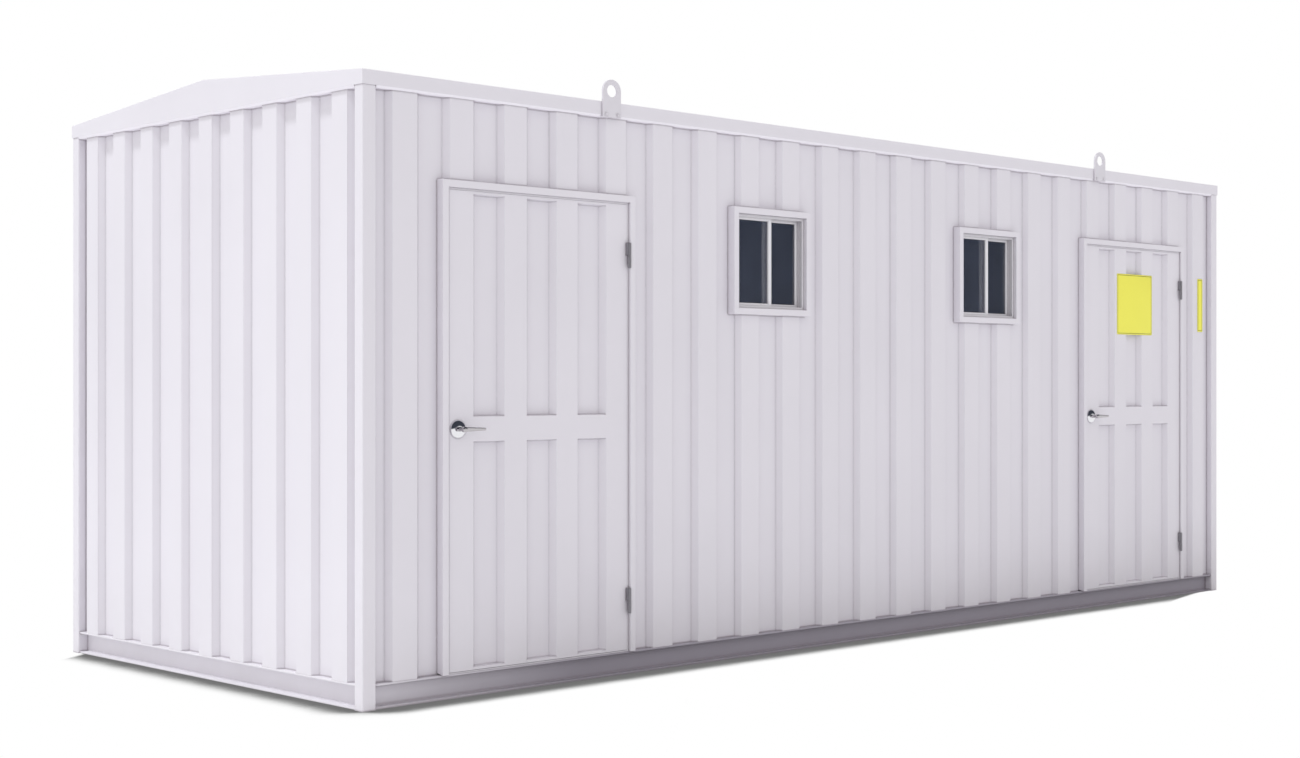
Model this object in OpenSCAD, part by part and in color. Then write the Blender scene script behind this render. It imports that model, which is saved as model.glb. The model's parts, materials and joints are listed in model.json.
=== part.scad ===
// Portable site cabin: a welded steel frame with ribbed wall sheets, a low gable roof,
// two outward-opening doors with lever handles, two sliding windows and four lifting lugs.
// Millimetres. Long side along X, front at -Y, ground at Z = 0, origin at the middle.

/* [Cabin] */
// Length over the corner posts
cabin_l = 6000; // [5400:10:7200]
// Width over the corner posts
cabin_w = 2500; // [2200:10:3000]
// Height of the fascia's top edge along the eaves
eaves_h = 2500; // [2400:10:2900]
// Height of the ridge above the eaves
ridge_rise = 87; // [40:1:160]
// Depth from the post's outer face to the inner face of the wall
wall_t = 90; // [75:1:120]

/* [Steel frame] */
// Side of the square corner post
post_s = 60; // [56:1:70]
// Wall of the corner post tube
post_t = 3; // [2:0.5:6]
// Outer corner radius of the post tube
post_r = 5; // [4:0.5:9]
// Height of the base channel
rail_h = 100; // [80:1:140]
// Thickness of the base channel's flanges
rail_flange_t = 8; // [5:0.5:12]
// Thickness of the base channel's web
rail_web_t = 6; // [4:0.5:10]
// Setback of the flange edges behind the post face
rail_setback = 8; // [2:1:14]
// Setback of the web behind the post face
rail_web_setback = 46; // [36:1:50]
// Width of a floor joist
joist_w = 50; // [40:1:60]
// Height of a floor joist
joist_h = 80; // [50:1:95]
// Wall of the floor joist tube
joist_t = 3; // [2:0.5:6]
// Spacing of the floor joists
joist_pitch = 600; // [400:10:800]
// Thickness of the floor deck
deck_t = 18; // [12:1:28]
// Thickness of the ceiling board
ceiling_t = 15; // [9:1:25]

/* [Wall sheets] */
// Spacing of the ribs in the wall and roof sheets
rib_pitch = 267; // [240:1:285]
// Flat width of a rib's crown
rib_crown = 112; // [90:1:130]
// Run of a rib's sloping flank
rib_flank = 21; // [10:1:30]
// Depth of the wall ribs
rib_depth = 28; // [15:1:32]
// Setback of the rib crowns behind the post face
rib_setback = 9; // [6:1:14]
// Thickness of the sheets
sheet_t = 1.5; // [1:0.1:2.5]
// Depth of the roof ribs
roof_rib_depth = 20; // [10:1:26]
// Least flat sheet between the last rib and the end of the sheet
sheet_margin = 20; // [5:1:40]

/* [Eaves] */
// Height of the fascia along the eaves
fascia_h = 68; // [50:1:90]
// Thickness of the fascia plate
fascia_t = 3; // [2:0.5:6]
// Width of the fascia's lip that turns in over the roof
fascia_lip = 40; // [25:1:60]
// Size of the slanting fold along the fascia's lower edge
hem_s = 9; // [6:0.5:12]
// Lap of the fascia below the top rail
fascia_lap = 12; // [11:1:16]
// Width of the ridge cap on each slope
cap_w = 150; // [90:1:220]
// Thickness of the ridge cap
cap_t = 2; // [1:0.5:3]
// Gap between the two roof sheets on each side of the ridge
ridge_gap = 10; // [5:1:25]
// Gap between the ridge cap and the gable lips
cap_clear = 2; // [1:0.5:4]
// Thickness of the sealing strips above and below the roof sheets
roof_seal = 0.3; // [0.2:0.1:0.8]

/* [Lifting lugs] */
// Distance of each lug from the middle of the cabin
lug_x = 1776; // [1200:1:2300]
// Width of the lug plate
lug_w = 100; // [80:1:130]
// Thickness of the lug plate
lug_t = 10; // [6:1:16]
// Height of the lug's top above the eaves
lug_rise = 97; // [90:1:130]
// Diameter of the lug's eye
lug_eye_d = 54; // [30:1:60]

/* [Doors] */
// Width of the door frame over its jambs
door_w = 1000; // [880:1:1050]
// Drop of the door frame's head below the eaves
door_drop = 400; // [300:1:550]
// Face width of the door frame
jamb_w = 30; // [24:1:40]
// How far the door frame stands proud of the posts
jamb_proud = 4; // [0:0.5:8]
// Width of the door stop behind the leaf
stop_w = 14; // [11:1:24]
// Least wall left between a door frame and the corner post
door_end_clear = 290; // [250:1:300]
// Thickness of the door leaf
leaf_t = 40; // [36:1:44]
// Gap between the leaf's edges and the frame
leaf_gap = 9; // [8:0.5:11]
// Gap between the leaf's back and the stop
stop_gap = 5.5; // [5:0.5:8]
// Gap under the leaf
leaf_foot = 6; // [5:0.5:10]
// Flat edge of the leaf above and below its pressed panels
leaf_edge = 11; // [8:1:30]
// Height of the middle rail's centre above the ground
mid_rail_z = 1090; // [950:1:1200]
// Height of the middle rail
mid_rail_h = 102; // [90:1:160]

/* [Hinges] */
// Height of a hinge, both halves together
hinge_h = 110; // [80:1:140]
// Diameter of the hinge barrel
hinge_d = 14; // [12:0.5:16]
// Diameter of the hinge pin
pin_d = 8; // [6:0.5:9]
// Radial running clearance of the hinge pin
pin_clear = 0.05; // [0.02:0.01:0.1]
// Length of the pin above the lower half
pin_h = 40; // [25:1:50]
// Distance of the lower hinge's centre above the leaf's foot
hinge_low = 217; // [150:1:300]
// Distance of the upper hinge's centre below the leaf's top
hinge_high = 223; // [150:1:300]
// Distance of the hinge's axis in front of the door frame's face
hinge_out = 4; // [2:0.5:6]
// Gap between the hinge barrel and the jamb
hinge_gap = 1; // [0.5:0.1:1.5]
// Thickness of the hinge's welded flags
flag_t = 6; // [4:0.5:8]
// How far the lower flag laps onto the jamb
flag_lap = 4; // [3:0.5:8]
// Distance of the upper flag from the leaf's edge
flag_set = 2; // [1:0.5:4]

/* [Handles] */
// Distance of the lever's axis from the leaf's free edge
handle_inset = 41; // [39:1:60]
// Diameter of the rose
rose_d = 75; // [60:1:76]
// Height of the domed rose
rose_h = 13; // [8:1:18]
// Height of the rose's straight rim
rose_rim = 3; // [1:0.5:6]
// Gap between the inner rose and the door stop
rose_clear = 6; // [5:0.5:8]
// Diameter of the lever's neck
neck_d = 20; // [16:0.5:26]
// Running clearance of the neck in the rose
neck_clear = 0.05; // [0.02:0.01:0.1]
// Diameter of the spindle through the leaf
spindle_d = 12; // [8:0.5:14]
// Clearance of the spindle in the leaf
spindle_clear = 0.5; // [0.3:0.1:1]
// Reach of the lever from its axis to its tip
lever_reach = 103; // [90:1:140]
// Distance of the lever's outer face from the leaf
lever_stand = 54; // [45:1:65]
// Thickness of the lever
lever_t = 11; // [8:0.5:14]
// Height of the lever at its tip
lever_tip_d = 13; // [9:0.5:18]

/* [Windows] */
// Outer width and height of the window trim
window_s = 500; // [420:1:600]
// Drop of the window trim's top below the eaves
window_drop = 402; // [300:1:700]
// Share of the way from the middle to the doors at which the windows sit
window_share = 0.375; // [0.3:0.005:0.45]
// Face width of the window trim
trim_w = 30; // [20:1:45]
// How far the window trim stands proud of the posts
trim_proud = 9; // [4:1:14]
// Setback of the sliding window's frame behind the trim's face
frame_recess = 20; // [10:1:26]
// Gap round the sliding window's frame
window_fit = 0.5; // [0.2:0.1:1]
// Face width of the window frame's lips
lip_w = 12; // [8:1:18]
// Thickness of the window frame's lips and of the rib between its tracks
lip_t = 5; // [3:0.5:7]
// Floor of the window frame's tracks
track_floor = 5; // [3:0.5:7]
// Thickness of a sash
sash_t = 20; // [14:0.5:24]
// Running clearance of a sash in its track
sash_clear = 0.8; // [0.5:0.1:1.5]
// Face width of a sash's stiles and rails
sash_w = 20; // [16:1:36]
// Thickness of the glass
glass_t = 4; // [3:0.5:6]

/* [Hidden] */
$fn = 48;

// Small overlap that lets a cut pass right through a face
through = 1;

// Paint and metal colours
white_paint = "#e6e4ea";
roof_paint = "#dedce3";
lining_white = "#ececea";
floor_brown = "#8f7f6c";
primer_grey = "#77757c";
hinge_steel = "#6b6872";
satin_chrome = "#b9bac0";
window_white = "#f0eff3";
slate_glass = "#323843";

// Wall depths, measured inwards from the post face
valley_v = rib_setback + rib_depth;
core_v = valley_v + sheet_t;
rail_inner_v = rail_web_setback + rail_web_t;
leaf_v = rib_setback;
stop_v = leaf_v + leaf_t + stop_gap;

// Heights
deck_top = rail_h + deck_t;
fascia_foot = eaves_h - fascia_h;
wall_top = fascia_foot + fascia_lap;
door_top = eaves_h - door_drop;
window_top = eaves_h - window_drop;

// Roof slope, and the planes that follow it
roof_angle = atan2(ridge_rise, cabin_w / 2);
lip_drop = fascia_t / cos(roof_angle);
sheet_drop = (roof_rib_depth + sheet_t) / cos(roof_angle);
function roof_z(v) = eaves_h + v * tan(roof_angle);
function crown_z(v) = roof_z(v) - lip_drop;
function roof_under_z(v) = crown_z(v) - sheet_drop - 2 * roof_seal;
roof_sheet_l = (cabin_w / 2 - ridge_gap) / cos(roof_angle);
post_top = roof_under_z(0) - fascia_lap;

// Rib places: a valley at the middle of the long sides, a rib at the middle of the ends
rib_half = rib_crown / 2 + rib_flank;
function long_ribs(half) =
    let (n = floor((half - rib_half - sheet_margin) / rib_pitch - 0.5))
    [for (i = [-n - 1 : n]) (i + 0.5) * rib_pitch];
function end_ribs(half) =
    let (n = floor((half - rib_half - sheet_margin) / rib_pitch))
    [for (i = [-n : n]) i * rib_pitch];

// Doors and windows sit a whole number of ribs from the middle
door_n = floor((cabin_l / 2 - post_s - door_w / 2 - door_end_clear) / rib_pitch);
door_x = door_n * rib_pitch;
window_x = round(door_n * window_share) * rib_pitch;
window_z = window_top - window_s / 2;

// Door leaf, with its hinges on the right
leaf_w = door_w - 2 * jamb_w - 2 * leaf_gap;
leaf_foot_z = rail_h + leaf_foot;
leaf_top_z = door_top - jamb_w - leaf_gap;
leaf_h = leaf_top_z - leaf_foot_z;
hinge_u = leaf_w / 2 + leaf_gap - hinge_d / 2 - hinge_gap;
hinge_v = -jamb_proud - hinge_out;
flag_u = hinge_u - leaf_w / 2 + flag_set;
hinge_zs = [leaf_foot_z + hinge_low, leaf_top_z - hinge_high];
handle_u = -leaf_w / 2 + handle_inset;
inner_rose_d = min(rose_d, 2 * (handle_inset + leaf_gap - stop_w - rose_clear));

// Sliding window, from its outer lip inwards
window_open = window_s - 2 * trim_w;
frame_s = window_open - 2 * window_fit;
frame_v = frame_recess - trim_proud;
track_t = sash_t + 2 * sash_clear;
frame_t = 3 * lip_t + 2 * track_t;
track_s = frame_s - 2 * track_floor;
sash_h = track_s - sash_clear;
sash_l = track_s / 2 + sash_w / 2;
function track_v(k) = frame_v + lip_t + sash_clear + k * (track_t + lip_t);

// Frames of reference: u along a wall, v inwards from its post face
function half_depth(side) = (side == "front" || side == "back") ? cabin_w / 2 : cabin_l / 2;
function half_length(side) = (side == "front" || side == "back") ? cabin_l / 2 : cabin_w / 2;
function turn(side) = side == "front" ? 0 : side == "back" ? 180 : side == "left" ? -90 : 90;
module on_side(side) {
    rotate([0, 0, turn(side)])
        translate([0, -half_depth(side), 0])
            children();
}

// Carries a (v, z) section along u, centred
module along_u(length) {
    rotate([90, 0, 90])
        linear_extrude(length, center = true)
            children();
}

// Carries a (u, z) outline inwards from depth v
module inwards(v, depth) {
    translate([0, v + depth, 0])
        rotate([90, 0, 0])
            linear_extrude(depth)
                children();
}

// Block between two corners given as (u, v, z)
module block(low, high) {
    translate(low)
        cube(high - low);
}

// Outline of a ribbed sheet: crowns at depth v0, valleys one rib depth further in
function sheet_edge(from, to, ribs, v0, depth, inset) = concat(
    [[from, v0 + depth]],
    [for (c = ribs, p = [[-1, 1], [-1, 0], [1, 0], [1, 1]])
        [c + p[0] * (rib_crown / 2 + p[1] * rib_flank - inset), v0 + p[1] * depth]],
    [[to, v0 + depth]]);
function reversed(points) = [for (i = [len(points) - 1 : -1 : 0]) points[i]];
function shifted(points, dv) = [for (p = points) [p[0], p[1] + dv]];
function fold_inset(depth) = sheet_t * (norm([rib_flank, depth]) - rib_flank) / depth;
module sheet_section(from, to, ribs, v0, depth) {
    outer = sheet_edge(from, to, ribs, v0, depth, 0);
    inner = shifted(sheet_edge(from, to, ribs, v0, depth, fold_inset(depth)), sheet_t);
    polygon(concat(outer, reversed(inner)));
}

// Steel frame
module base_rail(side) {
    length = 2 * (half_length(side) - post_s);
    color(white_paint)
        on_side(side)
            along_u(length)
                difference() {
                    translate([rail_setback, 0])
                        square([rail_inner_v - rail_setback, rail_h]);
                    translate([rail_setback - through, rail_flange_t])
                        square([rail_web_setback - rail_setback + through, rail_h - 2 * rail_flange_t]);
                }
}

module floor_joists() {
    span = cabin_w - 2 * rail_inner_v;
    room = cabin_l - 2 * rail_inner_v - joist_w;
    count = floor(room / joist_pitch) + 1;
    color(primer_grey)
        for (i = [0 : count - 1])
            translate([(i - (count - 1) / 2) * joist_pitch, span / 2, rail_h - joist_h])
                rotate([90, 0, 0])
                    linear_extrude(span)
                        difference() {
                            translate([-joist_w / 2, 0])
                                square([joist_w, joist_h]);
                            translate([-joist_w / 2 + joist_t, joist_t])
                                square([joist_w - 2 * joist_t, joist_h - 2 * joist_t]);
                        }
}

module floor_deck() {
    color(floor_brown)
        translate([-cabin_l / 2 + post_s, -cabin_w / 2 + post_s, rail_h])
            cube([cabin_l - 2 * post_s, cabin_w - 2 * post_s, deck_t]);
}

module rounded_square(s, r) {
    translate([r, 0])
        square([s - 2 * r, s]);
    translate([0, r])
        square([s, s - 2 * r]);
    for (x = [r, s - r], y = [r, s - r])
        translate([x, y])
            circle(r);
}

module corner_post(sx, sy) {
    color(white_paint)
        translate([sx * (cabin_l - post_s) / 2, sy * (cabin_w - post_s) / 2, 0])
            linear_extrude(post_top)
                translate([-post_s / 2, -post_s / 2])
                    difference() {
                        rounded_square(post_s, post_r);
                        translate([post_t, post_t])
                            rounded_square(post_s - 2 * post_t, post_r - post_t);
                    }
}

// Top rails carry the roof sheets, so their upper faces follow the slope
module top_rails() {
    color(primer_grey) {
        for (side = ["front", "back"])
            on_side(side)
                along_u(cabin_l - 2 * post_s)
                    polygon([
                        [0, wall_top], [post_s, wall_top],
                        [post_s, roof_under_z(post_s)], [0, roof_under_z(0)]
                    ]);
        for (side = ["left", "right"])
            on_side(side)
                inwards(0, post_s)
                    polygon([
                        [-cabin_w / 2 + post_s, wall_top], [cabin_w / 2 - post_s, wall_top],
                        [cabin_w / 2 - post_s, roof_under_z(post_s)], [0, roof_under_z(cabin_w / 2)],
                        [-cabin_w / 2 + post_s, roof_under_z(post_s)]
                    ]);
    }
}

// Walls: a ribbed sheet outside, a lined core behind it
module wall_sheet(side, ribs) {
    half = half_length(side) - post_s;
    on_side(side)
        translate([0, 0, rail_h])
            linear_extrude(fascia_foot - rail_h)
                sheet_section(-half, half, ribs, rib_setback, rib_depth);
}

module wall_core(side, from, to, foot) {
    on_side(side)
        block([from, core_v, foot], [to, wall_t, wall_top]);
}

module front_cladding() {
    color(white_paint)
        difference() {
            wall_sheet("front", long_ribs(cabin_l / 2 - post_s));
            on_side("front")
                for (s = [-1, 1]) {
                    block([s * door_x - door_w / 2, 0, rail_h - through],
                          [s * door_x + door_w / 2, wall_t, door_top]);
                    block([s * window_x - window_s / 2, 0, window_top - window_s],
                          [s * window_x + window_s / 2, wall_t, window_top]);
                }
        }
}

module back_cladding() {
    color(white_paint)
        wall_sheet("back", long_ribs(cabin_l / 2 - post_s));
}

module end_cladding(side) {
    color(white_paint)
        wall_sheet(side, end_ribs(cabin_w / 2 - post_s));
}

module front_wall_beside(s) {
    inner = door_x + door_w / 2;
    outer = cabin_l / 2 - post_s;
    color(lining_white)
        wall_core("front", s < 0 ? -outer : inner, s < 0 ? -inner : outer, deck_top);
}

module front_wall_over(s) {
    color(lining_white)
        wall_core("front", s * door_x - door_w / 2, s * door_x + door_w / 2, door_top);
}

module front_wall_middle() {
    edge = door_x - door_w / 2;
    color(lining_white)
        difference() {
            wall_core("front", -edge, edge, deck_top);
            on_side("front")
                for (s = [-1, 1])
                    translate([s * window_x, 0, window_z])
                        inwards(0, wall_t + through)
                            square(window_open, center = true);
        }
}

module back_wall() {
    edge = cabin_l / 2 - post_s;
    color(lining_white)
        wall_core("back", -edge, edge, deck_top);
}

module end_wall(side) {
    edge = cabin_w / 2 - wall_t;
    color(lining_white)
        wall_core(side, -edge, edge, deck_top);
}

module ceiling() {
    color(lining_white)
        translate([-cabin_l / 2 + post_s, -cabin_w / 2 + post_s, wall_top])
            cube([cabin_l - 2 * post_s, cabin_w - 2 * post_s, ceiling_t]);
}

// Roof: two ribbed sheets laid down the slopes, capped along the ridge
module roof_sheet(side) {
    color(roof_paint)
        on_side(side)
            translate([0, 0, crown_z(0) - roof_seal])
                rotate([roof_angle - 90, 0, 0])
                    linear_extrude(roof_sheet_l)
                        sheet_section(-cabin_l / 2, cabin_l / 2, long_ribs(cabin_l / 2), 0, roof_rib_depth);
}

module ridge_cap() {
    mid = cabin_w / 2;
    top_drop = cap_t / cos(roof_angle);
    color(roof_paint)
        on_side("front")
            along_u(cabin_l - 2 * fascia_lip - 2 * cap_clear)
                polygon([
                    [mid - cap_w, crown_z(mid - cap_w)], [mid, crown_z(mid)],
                    [mid + cap_w, crown_z(mid - cap_w)], [mid + cap_w, crown_z(mid - cap_w) + top_drop],
                    [mid, crown_z(mid) + top_drop], [mid - cap_w, crown_z(mid - cap_w) + top_drop]
                ]);
}

// Fascia: a plate with a lip over the roof, mitred at the corners, and between the posts
// a slanting fold and a soffit that run back to the wall
module mitred(side) {
    half = half_length(side);
    reach = fascia_t + through;
    depth = fascia_lip + through;
    intersection() {
        children();
        linear_extrude(eaves_h + ridge_rise + through)
            polygon([
                [-half - reach, -reach], [half + reach, -reach],
                [half - depth, depth], [-half + depth, depth]
            ]);
    }
}

module soffit(side) {
    fold = fascia_t * tan(22.5);
    along_u(2 * (half_length(side) - post_s))
        polygon([
            [-fascia_t, fascia_foot + hem_s], [hem_s - fascia_t, fascia_foot],
            [core_v, fascia_foot], [core_v, fascia_foot + fascia_t],
            [hem_s - fascia_t + fold, fascia_foot + fascia_t], [0, fascia_foot + hem_s + fold]
        ]);
}

module eaves_fascia(side) {
    half = half_length(side) + fascia_t + through;
    color(white_paint)
        on_side(side) {
            mitred(side)
                along_u(2 * half)
                    polygon([
                        [-fascia_t, fascia_foot + hem_s], [0, fascia_foot + hem_s],
                        [0, crown_z(0)], [fascia_lip, crown_z(fascia_lip)],
                        [fascia_lip, roof_z(fascia_lip)], [-fascia_t, roof_z(-fascia_t)]
                    ]);
            soffit(side);
        }
}

module gable_fascia(side) {
    half = half_length(side);
    ends = half + fascia_t + through;
    over = half - ends;
    color(white_paint)
        on_side(side) {
            mitred(side) {
                inwards(-fascia_t, fascia_t)
                    polygon([
                        [-ends, fascia_foot + hem_s], [ends, fascia_foot + hem_s],
                        [ends, roof_z(over)], [0, roof_z(half)], [-ends, roof_z(over)]
                    ]);
                inwards(-fascia_t, fascia_t + fascia_lip)
                    polygon([
                        [-ends, crown_z(over)], [0, crown_z(half)], [ends, crown_z(over)],
                        [ends, roof_z(over)], [0, roof_z(half)], [-ends, roof_z(over)]
                    ]);
            }
            soffit(side);
        }
}

// Lifting lugs: bolted plates with a round head and an eye
module lifting_lug(side, s) {
    eye_z = eaves_h + lug_rise - lug_w / 2;
    color(white_paint)
        on_side(side)
            translate([s * lug_x, 0, eye_z])
                inwards(-fascia_t - lug_t, lug_t)
                    difference() {
                        union() {
                            circle(d = lug_w);
                            translate([-lug_w / 2, fascia_foot - eye_z])
                                square([lug_w, eye_z - fascia_foot]);
                        }
                        circle(d = lug_eye_d);
                    }
}

// Doors
module at_door(s) {
    on_side("front")
        translate([s * door_x, 0, 0])
            children();
}

module door_frame(s) {
    pocket = door_w / 2 - jamb_w;
    clear = pocket - stop_w;
    color(white_paint)
        at_door(s)
            difference() {
                block([-door_w / 2, -jamb_proud, rail_h], [door_w / 2, wall_t, door_top]);
                block([-pocket, -jamb_proud - through, rail_h - through],
                      [pocket, stop_v, door_top - jamb_w]);
                block([-clear, stop_v - through, rail_h - through],
                      [clear, wall_t + through, door_top - jamb_w - stop_w]);
                block([-door_w / 2 - through, post_s, rail_h - through],
                      [door_w / 2 + through, wall_t + through, deck_top]);
            }
}

// A pressed panel in the leaf, shaped like a valley of the wall sheet
module leaf_valley(c, foot, top) {
    translate([c, leaf_v, foot])
        linear_extrude(top - foot)
            polygon([
                [-(rib_pitch - rib_crown) / 2, -through], [(rib_pitch - rib_crown) / 2, -through],
                [(rib_pitch - rib_crown) / 2, 0], [rib_pitch / 2 - rib_half, rib_depth],
                [-(rib_pitch / 2 - rib_half), rib_depth], [-(rib_pitch - rib_crown) / 2, 0]
            ]);
}

module door_leaf(s) {
    color(white_paint)
        at_door(s)
            difference() {
                block([-leaf_w / 2, leaf_v, leaf_foot_z], [leaf_w / 2, leaf_v + leaf_t, leaf_top_z]);
                for (k = [-1 : 1]) {
                    leaf_valley(k * rib_pitch, leaf_foot_z + leaf_edge, mid_rail_z - mid_rail_h / 2);
                    leaf_valley(k * rib_pitch, mid_rail_z + mid_rail_h / 2, leaf_top_z - leaf_edge);
                }
                translate([handle_u, leaf_v - through, mid_rail_z])
                    rotate([-90, 0, 0])
                        cylinder(d = spindle_d + 2 * spindle_clear, h = leaf_t + 2 * through);
            }
}

// Lift-off hinges: the lower half with its pin on the jamb, the upper half on the leaf
module door_hinge_pins() {
    color(hinge_steel)
        for (s = [-1, 1], z = hinge_zs)
            at_door(s)
                translate([hinge_u, hinge_v, z]) {
                    translate([0, 0, -hinge_h / 2])
                        cylinder(d = hinge_d, h = hinge_h / 2);
                    cylinder(d = pin_d, h = pin_h);
                    block([0, hinge_out + flag_lap - flag_t, -hinge_h / 2],
                          [hinge_d / 2 + hinge_gap, hinge_out + flag_lap, 0]);
                }
}

module door_hinge_barrels(s) {
    color(hinge_steel)
        at_door(s)
            for (z = hinge_zs)
                translate([hinge_u, hinge_v, z])
                    difference() {
                        union() {
                            cylinder(d = hinge_d, h = hinge_h / 2);
                            block([-flag_u - flag_t, 0, 0], [-flag_u, leaf_v - hinge_v, hinge_h / 2]);
                        }
                        translate([0, 0, -through])
                            cylinder(d = pin_d + 2 * pin_clear, h = pin_h + 2 * through);
                    }
}

// Lever handles on both faces of the leaf, on one spindle
module on_leaf_face(s, outside) {
    at_door(s)
        translate([handle_u, outside ? leaf_v : leaf_v + leaf_t, mid_rail_z])
            rotate([outside ? 90 : -90, 0, 0])
                children();
}

function rose_dome(r0, r1) =
    [for (a = [0 : 10 : 90])
        [r0 + (r1 - r0) * cos(a), rose_rim + (rose_h - rose_rim) * sin(a)]];

module rose(d) {
    bore = neck_d / 2 + neck_clear;
    rotate_extrude()
        polygon(concat([[bore, 0], [d / 2, 0]], rose_dome(bore, d / 2)));
}

module door_roses(s) {
    color(satin_chrome)
        for (outside = [true, false])
            on_leaf_face(s, outside)
                rose(outside ? rose_d : inner_rose_d);
}

// Tapered lever outline from its axis to its round tip
module lever_outline() {
    tip = lever_reach - lever_tip_d / 2;
    circle(d = neck_d);
    translate([tip, 0])
        circle(d = lever_tip_d);
    polygon([[0, -neck_d / 2], [tip, -lever_tip_d / 2], [tip, lever_tip_d / 2], [0, neck_d / 2]]);
}

module door_lever(s) {
    color(satin_chrome) {
        for (outside = [true, false])
            on_leaf_face(s, outside) {
                translate([0, 0, spindle_clear])
                    cylinder(d = neck_d, h = lever_stand - spindle_clear);
                translate([0, 0, lever_stand - lever_t])
                    linear_extrude(lever_t)
                        lever_outline();
            }
        on_leaf_face(s, false)
            translate([0, 0, -leaf_t - spindle_clear - through])
                cylinder(d = spindle_d, h = leaf_t + 2 * spindle_clear + 2 * through);
    }
}

// Windows: outside trim, a two-track frame, two sashes and their panes
module at_windows() {
    on_side("front")
        for (s = [-1, 1])
            translate([s * window_x, 0, window_z])
                children();
}

module ring(v, depth, outer, inner) {
    inwards(v, depth)
        difference() {
            square(outer, center = true);
            square(inner, center = true);
        }
}

module window_trims() {
    color(white_paint)
        at_windows()
            ring(-trim_proud, core_v + trim_proud, window_s, window_open);
}

module window_frames() {
    color(window_white)
        at_windows() {
            ring(frame_v, frame_t, frame_s, track_s);
            for (k = [0 : 2])
                ring(frame_v + k * (track_t + lip_t), lip_t, frame_s, frame_s - 2 * lip_w);
        }
}

// The left sash slides in the outer track, the right one in the inner track
module at_sashes() {
    at_windows()
        for (k = [0, 1])
            translate([k == 0 ? -track_s / 2 : track_s / 2 - sash_l, track_v(k), -track_s / 2])
                children();
}

module window_sashes() {
    color(window_white)
        at_sashes()
            inwards(0, sash_t)
                difference() {
                    square([sash_l, sash_h]);
                    translate([sash_w, sash_w])
                        square([sash_l - 2 * sash_w, sash_h - 2 * sash_w]);
                }
}

module window_glass() {
    color(slate_glass)
        at_sashes()
            translate([sash_w, 0, sash_w])
                inwards((sash_t - glass_t) / 2, glass_t)
                    square([sash_l - 2 * sash_w, sash_h - 2 * sash_w]);
}

base_rail("front");  // base_rail_front
base_rail("back");  // base_rail_back
base_rail("left");  // base_rail_left
base_rail("right");  // base_rail_right
floor_joists();
floor_deck();
corner_post(-1, -1);  // corner_post_front_left
corner_post(1, -1);  // corner_post_front_right
corner_post(-1, 1);  // corner_post_back_left
corner_post(1, 1);  // corner_post_back_right
top_rails();
front_cladding();
back_cladding();
end_cladding("left");  // left_end_cladding
end_cladding("right");  // right_end_cladding
front_wall_beside(-1);  // front_wall_left
front_wall_over(-1);  // front_wall_over_left_door
front_wall_middle();
front_wall_over(1);  // front_wall_over_right_door
front_wall_beside(1);  // front_wall_right
back_wall();
end_wall("left");  // left_end_wall
end_wall("right");  // right_end_wall
ceiling();
roof_sheet("front");  // roof_sheet_front
roof_sheet("back");  // roof_sheet_back
ridge_cap();
eaves_fascia("front");  // fascia_front
eaves_fascia("back");  // fascia_back
gable_fascia("left");  // fascia_left_gable
gable_fascia("right");  // fascia_right_gable
lifting_lug("front", -1);  // lifting_lug_front_left
lifting_lug("front", 1);  // lifting_lug_front_right
lifting_lug("back", 1);  // lifting_lug_back_left
lifting_lug("back", -1);  // lifting_lug_back_right
door_frame(-1);  // left_door_frame
door_frame(1);  // right_door_frame
door_hinge_pins();
door_leaf(-1);  // left_door_leaf
door_leaf(1);  // right_door_leaf
door_hinge_barrels(-1);  // left_door_hinge_barrels
door_hinge_barrels(1);  // right_door_hinge_barrels
door_roses(-1);  // left_door_roses
door_roses(1);  // right_door_roses
door_lever(-1);  // left_door_lever
door_lever(1);  // right_door_lever
window_trims();
window_frames();
window_sashes();
window_glass();
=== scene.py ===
"""Portable site cabin: visual pieces over the CAD frame, their finishes, and a white studio."""

import json
import math

import bmesh
import bpy
import numpy as np
from bpy.props import FloatProperty, FloatVectorProperty, IntProperty, PointerProperty
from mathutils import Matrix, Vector


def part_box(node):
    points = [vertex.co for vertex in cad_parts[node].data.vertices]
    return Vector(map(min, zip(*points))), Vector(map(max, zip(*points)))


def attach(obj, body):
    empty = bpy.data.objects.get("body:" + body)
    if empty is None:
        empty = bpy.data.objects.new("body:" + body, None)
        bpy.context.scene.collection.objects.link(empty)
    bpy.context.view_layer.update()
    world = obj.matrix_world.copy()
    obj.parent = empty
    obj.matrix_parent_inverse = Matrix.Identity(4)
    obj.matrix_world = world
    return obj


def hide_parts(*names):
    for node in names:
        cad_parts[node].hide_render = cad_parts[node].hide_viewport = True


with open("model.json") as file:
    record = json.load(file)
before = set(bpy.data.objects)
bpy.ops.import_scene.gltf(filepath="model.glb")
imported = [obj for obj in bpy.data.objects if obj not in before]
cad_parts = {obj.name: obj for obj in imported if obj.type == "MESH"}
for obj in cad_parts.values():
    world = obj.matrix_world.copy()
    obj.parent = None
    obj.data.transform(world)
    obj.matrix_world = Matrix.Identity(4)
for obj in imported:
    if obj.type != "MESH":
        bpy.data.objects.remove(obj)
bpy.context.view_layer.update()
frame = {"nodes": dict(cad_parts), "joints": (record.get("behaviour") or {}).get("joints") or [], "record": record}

bl_info = {
    "name": "Portable Site Cabin",
    "version": (1, 0, 0),
    "blender": (4, 5, 0),
    "location": "View3D > Sidebar > Cabin",
    "description": "Sheets, hardware, finishes and a white studio for a portable site cabin",
    "category": "Add Mesh",
}


# Sizes read from the frame, in metres

def box(node):
    """Lowest and highest corner of a CAD node."""
    low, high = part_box(node)
    return np.array(low), np.array(high)


def joint_at(name):
    """Place of a joint's axis."""
    return np.array(next(joint for joint in frame["joints"] if joint["name"] == name)["pos_m"])


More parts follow.
